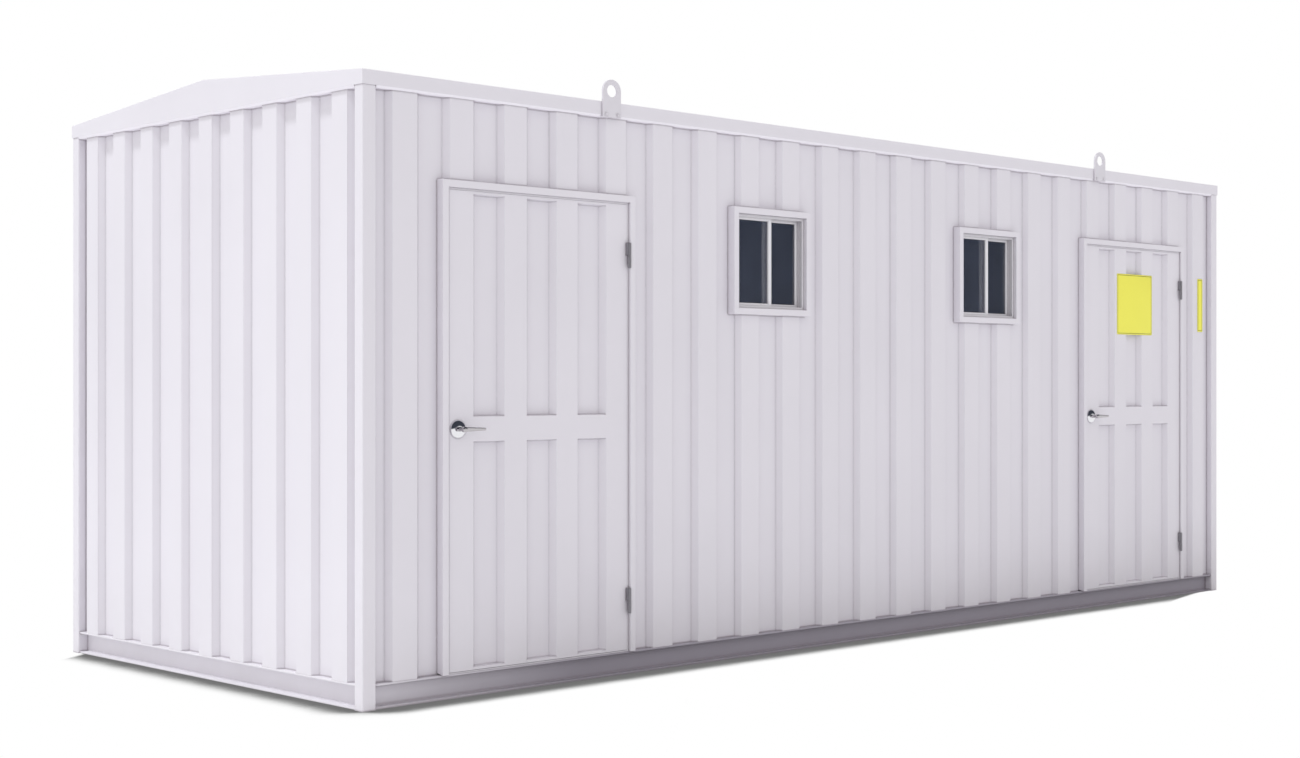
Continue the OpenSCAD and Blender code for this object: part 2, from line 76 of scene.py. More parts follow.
SLOTS = {part["node"]: part["material_slot"] for part in frame["record"]["subparts"]}
HANDS = {"left": -1, "right": 1}
LONG_WALLS = ("front", "back")
CLADDING = {
    "front": "front_cladding",
    "back": "back_cladding",
    "left": "left_end_cladding",
    "right": "right_end_cladding",
}
FASCIAS = {
    "front": "fascia_front",
    "back": "fascia_back",
    "left": "fascia_left_gable",
    "right": "fascia_right_gable",
}
POST_LOW, POST_HIGH = box("corner_post_front_left")
HALF_L, HALF_W = -POST_LOW[0], -POST_LOW[1]
POST = POST_HIGH[0] - POST_LOW[0]
POST_TOP = POST_HIGH[2]
RAIL_LOW, RAIL_HIGH = box("base_rail_front")
DECK_TOP = box("floor_deck")[1][2]
SHEET_LOW, SHEET_HIGH = box("front_cladding")
CROWN_V = SHEET_LOW[1] + HALF_W
SHEET_BACK_V = SHEET_HIGH[1] + HALF_W
FASCIA_LOW, FASCIA_HIGH = box("fascia_front")
LIP_V = FASCIA_HIGH[1] + HALF_W
RIDGE_Z = box("fascia_left_gable")[1][2]
SLOPE = (RIDGE_Z - FASCIA_HIGH[2]) / (HALF_W - LIP_V)
EAVES_Z = RIDGE_Z - HALF_W * SLOPE
TRIM_LOW, TRIM_HIGH = box("window_trims")
WINDOW = TRIM_HIGH[2] - TRIM_LOW[2]
WINDOW_X = TRIM_HIGH[0] - WINDOW / 2


# Settings

class CabinSheetSettings(bpy.types.PropertyGroup):
    """Ribbed wall and roof sheets."""

    pitch: FloatProperty(name="Rib pitch", description="Spacing of the ribs", default=0.267, unit="LENGTH")
    crown: FloatProperty(
        name="Crown", description="Flat width of a rib's crown", default=0.112, unit="LENGTH"
    )
    flank: FloatProperty(
        name="Flank", description="Run of a rib's sloping flank", default=0.021, unit="LENGTH"
    )
    margin: FloatProperty(
        name="Margin", description="Least flat sheet beyond the last rib", default=0.02, unit="LENGTH"
    )
    thickness: FloatProperty(
        name="Thickness", description="Thickness of the sheets", default=0.0015, unit="LENGTH"
    )
    bend: FloatProperty(name="Bend", description="Radius of the folds", default=0.0025, unit="LENGTH")
    lap_ribs: IntProperty(name="Ribs to a sheet", description="Ribs between two sheet laps", default=4)
    lap_step: FloatProperty(name="Lap", description="Step at a sheet lap", default=0.0012, unit="LENGTH")
    cap: FloatProperty(name="Cap", description="Thickness of the ridge cap", default=0.002, unit="LENGTH")
    closer: FloatProperty(
        name="Closers", description="Thickness of the ridge closers", default=0.02, unit="LENGTH"
    )


class CabinSteelSettings(bpy.types.PropertyGroup):
    """Posts, channels, fascia, lugs and hinges."""

    post_radius: FloatProperty(
        name="Post corner", description="Corner radius of the posts", default=0.006, unit="LENGTH"
    )
    edge: FloatProperty(name="Edge", description="Radius of cut steel edges", default=0.0018, unit="LENGTH")
    root: FloatProperty(
        name="Root", description="Fillet inside the base channel", default=0.004, unit="LENGTH"
    )
    flange: FloatProperty(
        name="Flange", description="Thickness of the channel's flanges", default=0.008, unit="LENGTH"
    )
    web: FloatProperty(name="Web", description="Thickness of the channel's web", default=0.006, unit="LENGTH")
    plate: FloatProperty(
        name="Plate", description="Thickness of the fascia plate", default=0.003, unit="LENGTH"
    )
    fold: FloatProperty(
        name="Fold", description="Size of the slanting fold below the fascia", default=0.009, unit="LENGTH"
    )
    eye: FloatProperty(name="Lug eye", description="Radius of the lug's eye", default=0.027, unit="LENGTH")
    bolt: FloatProperty(
        name="Bolt head", description="Radius of a lug's bolt heads", default=0.006, unit="LENGTH"
    )
    flag: FloatProperty(
        name="Flag", description="Thickness of the hinges' flags", default=0.006, unit="LENGTH"
    )
    flag_lap: FloatProperty(
        name="Flag lap", description="Lap of a lower flag onto the jamb", default=0.004, unit="LENGTH"
    )


class CabinDoorSettings(bpy.types.PropertyGroup):
    """Door frames and pressed leaves."""

    jamb: FloatProperty(name="Jamb", description="Face width of the frame", default=0.03, unit="LENGTH")
    stop: FloatProperty(
        name="Stop", description="Width of the stop behind the leaf", default=0.014, unit="LENGTH"
    )
    stop_gap: FloatProperty(
        name="Stop gap", description="Gap between leaf and stop", default=0.0055, unit="LENGTH"
    )
    depth: FloatProperty(
        name="Panel depth", description="Depth of the pressed panels", default=0.028, unit="LENGTH"
    )
    seal: FloatProperty(
        name="Seal", description="Thickness of the seal in the gap", default=0.0086, unit="LENGTH"
    )
    border: FloatProperty(
        name="Border", description="Flat edge above and below the panels", default=0.011, unit="LENGTH"
    )
    rail: FloatProperty(
        name="Middle rail", description="Height of the middle rail", default=0.102, unit="LENGTH"
    )
    end_run: FloatProperty(
        name="End slope", description="Run of the panels' sloping ends", default=0.0025, unit="LENGTH"
    )
    bend: FloatProperty(
        name="Bend", description="Radius of the pressed folds", default=0.002, unit="LENGTH"
    )


class CabinHandleSettings(bpy.types.PropertyGroup):
    """Lever handles."""

    neck: FloatProperty(
        name="Neck", description="Height of the lever at its root", default=0.02, unit="LENGTH"
    )
    tip: FloatProperty(name="Tip", description="Radius of the lever's tip", default=0.0055, unit="LENGTH")
    bar: FloatProperty(name="Bar", description="Thickness of the lever", default=0.010, unit="LENGTH")
    hub: FloatProperty(name="Hub", description="Radius of the lever's hub", default=0.0115, unit="LENGTH")
    lean: FloatProperty(
        name="Lean", description="Downward lean of the lever's face", default=math.radians(4), subtype="ANGLE"
    )
    inner_rose: FloatProperty(
        name="Inner rose", description="Radius of the rose on the inner face", default=0.03, unit="LENGTH"
    )


class CabinWindowSettings(bpy.types.PropertyGroup):
    """Sliding windows."""

    trim: FloatProperty(name="Trim", description="Face width of the trim", default=0.03, unit="LENGTH")
    lip: FloatProperty(name="Lip", description="Face width of the frame's lips", default=0.012, unit="LENGTH")
    lip_t: FloatProperty(
        name="Lip thickness", description="Thickness of the frame's lips", default=0.005, unit="LENGTH"
    )
    floor: FloatProperty(
        name="Track floor", description="Thickness under the frame's tracks", default=0.005, unit="LENGTH"
    )
    sash: FloatProperty(name="Sash", description="Face width of the sashes", default=0.02, unit="LENGTH")
    sash_t: FloatProperty(
        name="Sash thickness", description="Thickness of the sashes", default=0.02, unit="LENGTH"
    )
    bead: FloatProperty(
        name="Bead", description="Slant of the sashes' inner edges", default=0.0045, unit="LENGTH"
    )


class CabinFinishSettings(bpy.types.PropertyGroup):
    """Colours of the finishes, linear."""

    paint: FloatVectorProperty(
        name="Paint", description="White paint", subtype="COLOR", default=(0.81, 0.786, 0.838)
    )
    roof: FloatVectorProperty(
        name="Roof", description="Roof paint", subtype="COLOR", default=(0.76, 0.75, 0.79)
    )
    lining: FloatVectorProperty(
        name="Lining", description="Inner boards", subtype="COLOR", default=(0.78, 0.78, 0.76)
    )
    board: FloatVectorProperty(
        name="Floor", description="Floor board", subtype="COLOR", default=(0.30, 0.23, 0.17)
    )
    primer: FloatVectorProperty(
        name="Primer", description="Grey primer", subtype="COLOR", default=(0.2, 0.2, 0.22)
    )
    steel: FloatVectorProperty(
        name="Steel", description="Hinge steel", subtype="COLOR", default=(0.28, 0.27, 0.295)
    )
    chrome: FloatVectorProperty(
        name="Chrome", description="Polished roses", subtype="COLOR", default=(0.83, 0.83, 0.86)
    )
    satin: FloatVectorProperty(
        name="Satin", description="Satin levers", subtype="COLOR", default=(0.53, 0.51, 0.53)
    )
    window: FloatVectorProperty(
        name="Window", description="Window frames", subtype="COLOR", default=(0.84, 0.83, 0.86)
    )
    seal: FloatVectorProperty(
        name="Seals", description="Door seals", subtype="COLOR", default=(0.76, 0.74, 0.78)
    )
    glass: FloatVectorProperty(
        name="Glass", description="Tinted glass", subtype="COLOR", default=(0.084, 0.1, 0.15)
    )
    plate: FloatVectorProperty(
        name="Plates", description="Yellow plates", subtype="COLOR", default=(0.96, 0.92, 0.14)
    )
    border: FloatVectorProperty(
        name="Borders", description="Borders of the plates", subtype="COLOR", default=(0.03, 0.03, 0.03)
    )
    dust: FloatVectorProperty(
        name="Dust", description="Dust low on the walls", subtype="COLOR", default=(0.46, 0.42, 0.38)
    )
    # Painted shade: colour towards which folds, corners and recesses are darkened
    crease_shade: FloatVectorProperty(
        name="Crease shade", description="Grime in the folds", subtype="COLOR", default=(0.3, 0.26, 0.29)
    )
    # Painted shade: colour towards which the front channel is darkened, standing in for the shade before the front
    splash: FloatVectorProperty(
        name="Front shade", description="Dirt on the front channel", subtype="COLOR", default=(0.29, 0.265, 0.325)
    )


class CabinStageSettings(bpy.types.PropertyGroup):
    """Light, floor and camera."""

    sun: FloatProperty(name="Sun", description="Strength of the key light", default=1.55)
    sun_angle: FloatProperty(
        name="Sun angle", description="Apparent size of the sun", default=math.radians(8), subtype="ANGLE"
    )
    sun_tint: FloatVectorProperty(
        name="Sun tint", description="Colour of the key light", subtype="COLOR", default=(0.95, 0.99, 1.0)
    )
    sun_from: FloatVectorProperty(
        name="Sun from", description="Direction the key light comes from", subtype="DIRECTION",
        default=(-0.389, 0.152, 0.907),
    )
    ambient: FloatVectorProperty(
        name="Ambient", description="Light from all round", subtype="COLOR", default=(0.765, 0.752, 0.76)
    )
    ceiling: FloatVectorProperty(
        name="Ceiling", description="Dark ceiling that polished pieces mirror", subtype="COLOR",
        default=(0.05, 0.055, 0.07),
    )
    floor: FloatProperty(name="Floor", description="Share of light the floor sends back", default=0.85)
    contact: FloatProperty(
        name="Contact shadow", description="Reach of the contact shadow", default=0.22, unit="LENGTH"
    )
    shadow: FloatProperty(
        name="Front shadow", description="Depth of dark floor before the front", default=0.28, unit="LENGTH"
    )
    eye: FloatVectorProperty(
        name="Camera", description="Place of the camera", subtype="TRANSLATION",
        default=(-7.124, -7.838, 1.274),
    )
    heading: FloatProperty(
        name="Heading", description="Turn of the camera about the vertical", default=math.radians(-47.724),
        subtype="ANGLE",
    )
    lens: FloatProperty(name="Lens", description="Focal length in millimetres", default=53.39, unit="CAMERA")
    shift: FloatVectorProperty(
        name="Shift", description="Lens shift across and up", size=2, default=(-0.1952, 0.0038)
    )


# Surfaces as arrays of points

def stacked(x, y, z):
    """Points from their coordinates, which are stretched to one common grid."""
    return np.stack(np.broadcast_arrays(x, y, z), -1)


def rectangle(low, high):
    """Corners of a rectangle, from its lowest corner round."""
    return np.array([[low[0], low[1]], [high[0], low[1]], [high[0], high[1]], [low[0], high[1]]])


def arcs(before, corner, after, radius, steps):
    """Arcs that round corners, (corners, steps + 1, 2): each touches both sides, and its points are
    the weighted sums of the two radii at its ends, with sines of the turned angle as weights."""
    a = (before - corner) / np.linalg.norm(before - corner, axis=1, keepdims=True)
    b = (after - corner) / np.linalg.norm(after - corner, axis=1, keepdims=True)
    half = 0.5 * np.arccos(np.clip((a * b).sum(1), -1, 1))
    radius = np.broadcast_to(radius, half.shape)
    middle = (a + b) / np.linalg.norm(a + b, axis=1, keepdims=True)
    centre = corner + middle * (radius / np.sin(half))[:, None]
    cut = (radius / np.tan(half))[:, None]
    first, last = corner + a * cut - centre, corner + b * cut - centre
    swing = (np.pi - 2 * half)[:, None]
    t = np.linspace(0, 1, steps + 1)
    w0, w1 = np.sin((1 - t) * swing) / np.sin(swing), np.sin(t * swing) / np.sin(swing)
    return centre[:, None] + w0[..., None] * first[:, None] + w1[..., None] * last[:, None]


def rounded(corners, radius, steps=3):
    """Closed outline with every corner rounded."""
    p = np.asarray(corners, float)
    return arcs(np.roll(p, 1, 0), p, np.roll(p, -1, 0), radius, steps).reshape(-1, 2)


def bent(along, depth, radius, steps=4):
    """Open line through points (along, depth) with every inner corner rounded."""
    p = np.stack([along, depth], 1)
    return np.concatenate([p[:1], arcs(p[:-2], p[1:-1], p[2:], radius, steps).reshape(-1, 2), p[-1:]])


def patch(grid, around=False, keep=None):
    """Points and quads of a grid (rows, columns, 3): neighbours in both directions share a quad, the
    last column joins the first if around, and quads that keep leaves out are dropped."""
    rows, columns = grid.shape[:2]
    index = np.arange(rows * columns).reshape(rows, columns)
    if around:
        index = np.concatenate([index, index[:, :1]], 1)
    quads = np.stack([index[:-1, :-1], index[:-1, 1:], index[1:, 1:], index[1:, :-1]], -1)
    return grid.reshape(-1, 3), [quads[keep] if keep is not None else quads.reshape(-1, 4)]


def loft(rings, closed=False):
    """Closed skin over rings (rings, points, 3): each ring joins the next point by point, and the first
    and last ring are filled, or joined to each other if closed."""
    count = rings.shape[1]
    if closed:
        points, faces = patch(np.concatenate([rings, rings[:1]]), around=True)
        return points[:-count], [faces[0] % (len(points) - count)]
    points, faces = patch(rings, around=True)
    ends = np.arange(count)[None]
    return points, faces + [ends, ends + len(points) - count]


def revolve(profile, centre, count, out=0):
    """Closed skin of a profile (radius, height) turned about an axis: at angle a a point is radius times
    (cos a, sin a) across the axis and height along it. The axis starts at centre and points along y
    if out is 1, against it if out is -1, and upwards if out is 0."""
    angle = np.linspace(0, 2 * np.pi, count, endpoint=False)
    radius, height = np.asarray(profile, float).T[:, :, None]
    a, b = radius * np.cos(angle), radius * np.sin(angle)
    if out:
        return loft(stacked(centre[0] + a, centre[1] + out * height, centre[2] + b))
    return loft(stacked(centre[0] + a, centre[1] + b, centre[2] + height))


def upright(outline, foot, top):
    """Closed skin of an outline (x, y) carried upwards."""
    x, y = outline.T
    return loft(stacked(x, y, np.array([[foot], [top]])))


def along_x(section, start, end):
    """Closed skin of a section (y, z) carried from one x to another."""
    y, z = section.T
    return loft(stacked(np.array([[start], [end]]), y, z))


def on_side(u, v, z, side):
    """Points given along a wall (u), inwards from its post face (v) and up (z), put in the frame."""
    x, y = {
        "front": (u, v - HALF_W),
        "back": (-u, HALF_W - v),
        "left": (v - HALF_L, -u),
        "right": (HALF_L - v, u),
    }[side]
    return stacked(x, y, z)


def along_wall(section, half, side):
    """Closed skin of a section (v, z) carried along a wall, half a length to both sides."""
    v, z = section.T
    return loft(on_side(np.array([[-half], [half]]), v, z, side))


def half_length(side):
    """Half the length of a wall over its posts."""
    return HALF_L if side in LONG_WALLS else HALF_W


def ringed(section, low, high):
    """Closed skin of a section (a, y) carried round a rectangle in x and z with mitred corners: a point
    sits a inside the rectangle on every side, at depth y."""
    a, y = section.T
    x = np.stack([low[0] + a, high[0] - a, high[0] - a, low[0] + a])
    z = np.stack([low[1] + a, low[1] + a, high[1] - a, high[1] - a])
    return loft(stacked(x, y, z), closed=True)


def piece(name, parts, finish, body="cabin", stands_for=(), slot="white_paint", closed=True, angle=35.0):
    """One object from several (points, faces), shaded smooth up to an angle, on a body of the frame."""
    starts = np.cumsum([0] + [len(points) for points, _ in parts[:-1]])
    faces = [f for (_, groups), start in zip(parts, starts) for g in groups for f in (g + start).tolist()]
    mesh = bpy.data.meshes.new(name)
    mesh.from_pydata(np.concatenate([points for points, _ in parts]), [], faces)
    if closed:
        work = bmesh.new()
        work.from_mesh(mesh)
        bmesh.ops.recalc_face_normals(work, faces=work.faces)
        work.to_mesh(mesh)
        work.free()
    mesh.polygons.foreach_set("use_smooth", np.ones(len(mesh.polygons), bool))
    mesh.set_sharp_from_angle(angle=math.radians(angle))
    mesh.materials.append(bpy.data.materials[f"finish_{finish}"])
    obj = bpy.data.objects.new(name, mesh)
    bpy.context.scene.collection.objects.link(obj)
    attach(obj, body)
    if stands_for:
        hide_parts(*stands_for)
    return obj


def dress(node, making, parts, finish, **options):
    """Piece that stands for a CAD node, with a word for its making before the node's name."""
    return piece(f"{making}_{node}", parts, finish, stands_for=(node,), slot=SLOTS[node], **options)


def even(obj):
    """Gives large flat faces the say in the shading of their edges."""
    weighted = obj.modifiers.new("Even shading", "WEIGHTED_NORMAL")
    weighted.keep_sharp = True
    weighted.weight = 100


def thick(obj, thickness):
    """Gives an open sheet its thickness, inwards."""
    solid = obj.modifiers.new("Thickness", "SOLIDIFY")
    solid.thickness = thickness
    solid.offset = -1.0
    return obj


# Shader nodes

def put(tree, value, socket):
    """Links an input to an output, or sets its value; a colour is three numbers."""
    if isinstance(value, bpy.types.NodeSocket):
        tree.links.new(value, socket)
    else:
        socket.default_value = (*value, 1.0) if socket.type == "RGBA" else value


def add(tree, kind, inputs=None, **attributes):
    """Outputs of a new node with some attributes set and some inputs linked or given a value."""
    node = tree.nodes.new(kind)
    for key, value in attributes.items():
        setattr(node, key, value)
    for key, value in (inputs or {}).items():
        put(tree, value, node.inputs[key])
    return node.outputs


def combine(tree, operation, *values):
    """Result of a Math node."""
    return add(tree, "ShaderNodeMath", dict(enumerate(values)), operation=operation)[0]


def ramp(tree, value, start, end, low=0.0, high=1.0, **attributes):
    """Value carried from one range to another, and held at its ends."""
    spans = {"Value": value, "From Min": start, "From Max": end, "To Min": low, "To Max": high}
    return add(tree, "ShaderNodeMapRange", spans, **attributes)["Result"]


def mixed(tree, factor, first, second):
    """Colour between two colours."""
    return add(tree, "ShaderNodeMix", {0: factor, 6: first, 7: second}, data_type="RGBA")[2]


def apart(tree, vector):
    """Outputs X, Y and Z of a vector."""
    return add(tree, "ShaderNodeSeparateXYZ", {"Vector": vector})


def noise(tree, place, scale, detail, roughness=0.5):
    """Value of a noise at a place."""
    inputs = {"Vector": place, "Scale": scale, "Detail": detail, "Roughness": roughness}
    return add(tree, "ShaderNodeTexNoise", inputs)["Fac"]


def openness(tree, distance, samples):
    """Share of the surroundings that nothing within a distance hides."""
    return add(tree, "ShaderNodeAmbientOcclusion", {"Distance": distance}, samples=samples)["AO"]


def rays(tree, first, *others):
    """Mask of some kinds of rays."""
    path = add(tree, "ShaderNodeLightPath")
    mask = path[f"Is {first} Ray"]
    for kind in others:
        mask = combine(tree, "MAXIMUM", mask, path[f"Is {kind} Ray"])
    return mask


def shade(colour, factor):
    """A colour made lighter or darker."""
    return tuple(min(1.0, c * factor) for c in colour)


# Effects that several finishes share

def new_group(name, inputs, *outputs):
    """Empty shader node group, its inputs to read and its outputs to feed; an input that has no default
    is a vector, and every other socket a number."""
    tree = bpy.data.node_groups.new(name, "ShaderNodeTree")
    for label, default in inputs.items():
        kind = "NodeSocketVector" if default is None else "NodeSocketFloat"
        socket = tree.interface.new_socket(name=label, in_out="INPUT", socket_type=kind)
        if default is not None:
            socket.default_value = default
    for label in outputs:
        tree.interface.new_socket(name=label, in_out="OUTPUT", socket_type="NodeSocketFloat")
    return tree, tree.nodes.new("NodeGroupInput").outputs, tree.nodes.new("NodeGroupOutput").inputs


def use_group(tree, name, **inputs):
    """Outputs of a shader node group placed in a material."""
    return add(tree, "ShaderNodeGroup", inputs, node_tree=bpy.data.node_groups[name])


def mottle_group():
    """Cloudy tone and a fine skin: two noises of the place, one broad, one fine."""
    tree, given, out = new_group("Mottle", {"Vector": None, "Broad": 1.6, "Fine": 700.0}, "Tone", "Skin")
    cloud = noise(tree, given["Vector"], given["Broad"], detail=4.0)
    put(tree, ramp(tree, cloud, start=0.3, end=0.7), out["Tone"])
    put(tree, noise(tree, given["Vector"], given["Fine"], detail=1.0), out["Skin"])


def dust_group():
    """Mask of dust low on the walls and on faces that look up, broken by noise."""
    tree, given, out = new_group("Dust", {"Vector": None, "Reach": 0.45}, "Mask")
    low = ramp(tree, apart(tree, given["Vector"])["Z"], start=given["Reach"], end=0.0)
    normal = add(tree, "ShaderNodeNewGeometry")["Normal"]
    flat = ramp(tree, apart(tree, normal)["Z"], start=0.6, end=1.0)
    broken = noise(tree, given["Vector"], scale=9.0, detail=6.0, roughness=0.65)
    put(tree, combine(tree, "MULTIPLY", combine(tree, "MAXIMUM", low, flat), broken), out["Mask"])


def scuff_group():
    """Mask of fine scratches: noise stretched along one direction, cut to its peaks."""
    tree, given, out = new_group("Scuffs", {"Vector": None, "Scale": 60.0}, "Mask")
    long = add(tree, "ShaderNodeMapping", {"Vector": given["Vector"], "Scale": (1.0, 1.0, 14.0)})["Vector"]
    scratches = noise(tree, long, given["Scale"], detail=5.0)
    put(tree, ramp(tree, scratches, start=0.52, end=0.75), out["Mask"])


def crease_group():
    """Masks of folds and corners for painted shade, where little light comes: the share of the
    surroundings that is hidden, near by for a painted dark line and further off for broad painted shade."""
    tree, given, out = new_group("Creases", {"Near": 0.015, "Far": 0.045}, "Line", "Shade")
    for reach, label, open_at, hidden_at in (("Near", "Line", 0.96, 0.87), ("Far", "Shade", 0.96, 0.55)):
        put(tree, ramp(tree, openness(tree, given[reach], samples=3), open_at, hidden_at), out[label])


# Finishes

PAINT_SHEEN = 0.12
PAINT_TONES = (0.985, 1.012)  # darkest and lightest tone of a paint, as shares of its colour
PAINT_MATT = (-0.04, 0.06)  # change of a paint's roughness at those tones
PEEL = 0.0004  # height of the paint's orange-peel skin
GRAIN = 0.0006  # height of the floor board's grain
FRONT_SHADE_RUN = 1.0  # length of front, from the left post, over which the painted shade grows
FRONT_SHADE_START = 0.1  # share of the painted shade at the left post
GLASS_IOR = 1.3
GLASS_ALPHA = 0.3


def blank(name):
    """Node tree of a new material, its Principled shader's inputs, and the place on the object."""
    material = bpy.data.materials.new(f"finish_{name}")
    material.use_nodes = True
    tree = material.node_tree
    return tree, tree.nodes["Principled BSDF"].inputs, add(tree, "ShaderNodeTexCoord")["Object"]


def bumped(tree, shader, height, strength, distance):
    """Relief on a shader's normal."""
    relief = add(tree, "ShaderNodeBump", {"Height": height, "Strength": strength, "Distance": distance})
    put(tree, relief["Normal"], shader["Normal"])


def paint(
    name, colour, tint, roughness=0.45, skin=0.06, dust=0.16, broad=1.6,
    creases=(0.14, 0.4), near=0.015, splash=0.0,
):
    """Sprayed paint: cloudy tone, orange-peel skin, dust low down, painted shade in the folds, and painted
    shade that grows along the front from the left post."""
    tree, shader, place = blank(name)
    mottle = use_group(tree, "Mottle", Vector=place, Broad=broad)
    tone = mixed(tree, mottle["Tone"], *(shade(colour, share) for share in PAINT_TONES))
    settled = use_group(tree, "Dust", Vector=place)["Mask"]
    tone = mixed(tree, combine(tree, "MULTIPLY", settled, dust), tone, tint.dust)
    # Painted shade: the front channel darkens, less so near the left post, standing in for the shade before the
    # front
    if splash:
        start = POST - HALF_L
        front_shading = ramp(tree, apart(tree, place)["X"], start, start + FRONT_SHADE_RUN, FRONT_SHADE_START * splash, splash)
        tone = mixed(tree, front_shading, tone, tint.splash)
    # Painted shade: folds, corners and recesses darken where the surroundings are hidden close by
    crease = use_group(tree, "Creases", Near=near)
    for label, most in zip(("Shade", "Line"), creases):
        tone = mixed(tree, combine(tree, "MULTIPLY", crease[label], most), tone, tint.crease_shade)
    put(tree, tone, shader["Base Color"])
    shader["Specular IOR Level"].default_value = PAINT_SHEEN
    low, high = (roughness + change for change in PAINT_MATT)
    put(tree, ramp(tree, mottle["Tone"], 0.0, 1.0, low, high), shader["Roughness"])
    bumped(tree, shader, mottle["Skin"], skin, PEEL)


def metal(name, colour, roughness, scuffs, bare=1.0):
    """Bare or plated metal with fine scuffs."""
    tree, shader, place = blank(name)
    scuff = use_group(tree, "Scuffs", Vector=place, Scale=90.0)["Mask"]
    put(tree, mixed(tree, scuff, colour, shade(colour, 0.9)), shader["Base Color"])
    put(tree, ramp(tree, scuff, 0.0, 1.0, roughness, roughness + scuffs), shader["Roughness"])
    shader["Metallic"].default_value = bare


def board(name, colour, roughness=0.62, relief=0.15):
    """Film-faced floor board: long grain, fine speckle and worn patches."""
    tree, shader, place = blank(name)
    long = add(tree, "ShaderNodeMapping", {"Vector": place, "Scale": (1.2, 22.0, 22.0)})["Vector"]
    grain = noise(tree, long, scale=3.0, detail=8.0)
    worn = use_group(tree, "Mottle", Vector=place, Broad=3.0, Fine=400.0)["Tone"]
    wood = mixed(tree, grain, shade(colour, 0.72), shade(colour, 1.3))
    put(tree, mixed(tree, worn, wood, shade(colour, 1.1)), shader["Base Color"])
    shader["Roughness"].default_value = roughness
    bumped(tree, shader, grain, relief, GRAIN)


def glass(name, colour, clean=0.015, dirty=0.04):
    """Tinted pane: dark body, faint streaks of dirt, clear mirror on top."""
    tree, shader, place = blank(name)
    streaks = use_group(tree, "Mottle", Vector=place, Broad=6.0)["Tone"]
    put(tree, mixed(tree, streaks, shade(colour, 0.9), shade(colour, 1.15)), shader["Base Color"])
    put(tree, ramp(tree, streaks, 0.0, 1.0, clean, dirty), shader["Roughness"])
    shader["IOR"].default_value = GLASS_IOR
    shader["Alpha"].default_value = GLASS_ALPHA


class CABIN_OT_finishes(bpy.types.Operator):
    """Make the finishes and give every CAD node its own"""

    bl_idname = "cabin.finishes"
    bl_label = "Finishes"

    def execute(self, context):
        """One material to each of the record's slots, and others for pieces that differ from their slot."""
        tint = context.scene.cabin_finishes
        mottle_group()
        dust_group()
        scuff_group()
        crease_group()
        paint("white_paint", tint.paint, tint, creases=(0.12, 0.6), near=0.009)
        paint("door_paint", tint.paint, tint, creases=(0.12, 0.55), near=0.006)
        paint("hem_paint", tint.paint, tint, creases=(0.06, 0.14), near=0.008)
        # Painted light: a lighter copy of the white paint for the folds and soffits below the fascia
        paint("fold_lit_paint", shade(tint.paint, 1.16), tint, creases=(0.06, 0.5), near=0.012)
        # Painted shade: a darker copy of the white paint for the lugs
        paint("lug_shaded_paint", shade(tint.paint, 0.93), tint)
        # Painted shade: the white paint darkened along the front channel
        paint("front_shaded_paint", tint.paint, tint, splash=0.68, creases=(0.16, 0.55))
        paint("roof_paint", tint.roof, tint, dust=0.3)
        paint("lining", tint.lining, tint, roughness=0.6, skin=0.1, dust=0.05, broad=2.4)
        paint("primer", tint.primer, tint, roughness=0.6, dust=0.25)
        paint("window_white", tint.window, tint, roughness=0.34, skin=0.03, dust=0.0)
        paint("seal_grey", tint.seal, tint, roughness=0.7, dust=0.05, creases=(0.1, 0.1))
        paint("yellow_plate", tint.plate, tint, roughness=0.38, skin=0.03, dust=0.03, broad=5.0)
        paint("print_black", tint.border, tint, roughness=0.5, dust=0.0, creases=(0.0, 0.0))
        board("floor_board", tint.board)
        metal("hinge_steel", tint.steel, roughness=0.42, scuffs=0.2, bare=0.35)
        metal("handle_metal", tint.chrome, roughness=0.04, scuffs=0.06)
        metal("satin_metal", tint.satin, roughness=0.14, scuffs=0.1)
        glass("tinted_glass", tint.glass)
        for node, slot in SLOTS.items():
            materials = frame["nodes"][node].data.materials
            materials.clear()
            materials.append(bpy.data.materials[f"finish_{slot}"])
        return {"FINISHED"}


# Steel frame

class CABIN_OT_steel_frame(bpy.types.Operator):
    """Corner posts and base channels"""

    bl_idname = "cabin.steel_frame"
    bl_label = "Steel frame"

    def execute(self, context):
        """A post is a rounded square carried upwards; a rail is a channel section carried along its wall."""
        steel = context.scene.cabin_steel
        square = rectangle((HALF_L - POST, HALF_W - POST), (HALF_L, HALF_W))
        for depth, sy in (("front", -1), ("back", 1)):
            for hand, sx in HANDS.items():
                outline = rounded(square, steel.post_radius, steps=5) * (sx, sy)
                tube = upright(outline, 0.0, POST_TOP)
                even(dress(f"corner_post_{depth}_{hand}", "tube", [tube], "white_paint"))
        front, back, top = RAIL_LOW[1] + HALF_W, RAIL_HIGH[1] + HALF_W, RAIL_HIGH[2]
        web, under, over = back - steel.web, top - steel.flange, steel.flange
        section = rounded(
            [
                [front, 0], [back, 0], [back, top], [front, top],
                [front, under], [web, under], [web, over], [front, over],
            ],
            [steel.edge] * 5 + [steel.root] * 2 + [steel.edge],
        )
        for side in CLADDING:
            rail = along_wall(section, half_length(side) - POST, side)
            # The front channel gets the paint with the painted shade of the front
            finish = "front_shaded_paint" if side == "front" else "hem_paint"
            even(dress(f"base_rail_{side}", "channel", [rail], finish))
        return {"FINISHED"}


# Ribbed sheets and ridge

CLEARANCE = 0.0005  # keeps a sheet off the face behind it
LAP_START = 0.215  # place of the middle lap, in rib pitches
LAP_WIDTH = 0.0003  # width of the step at a lap
LAP_MARGIN = 0.05  # least distance of a lap from a post
SHEET_LINES = 9  # level lines of a wall sheet's grid
SAME_PLACE = 1e-5  # upright lines nearer than this are one
CAP_INSET = 0.004  # distance of the ridge closers from the cap's edge
CAP_FOLDS = (0.0005, 0.004, 0.0005, 0.0005, 0.006, 0.0005)  # radii round the cap's section


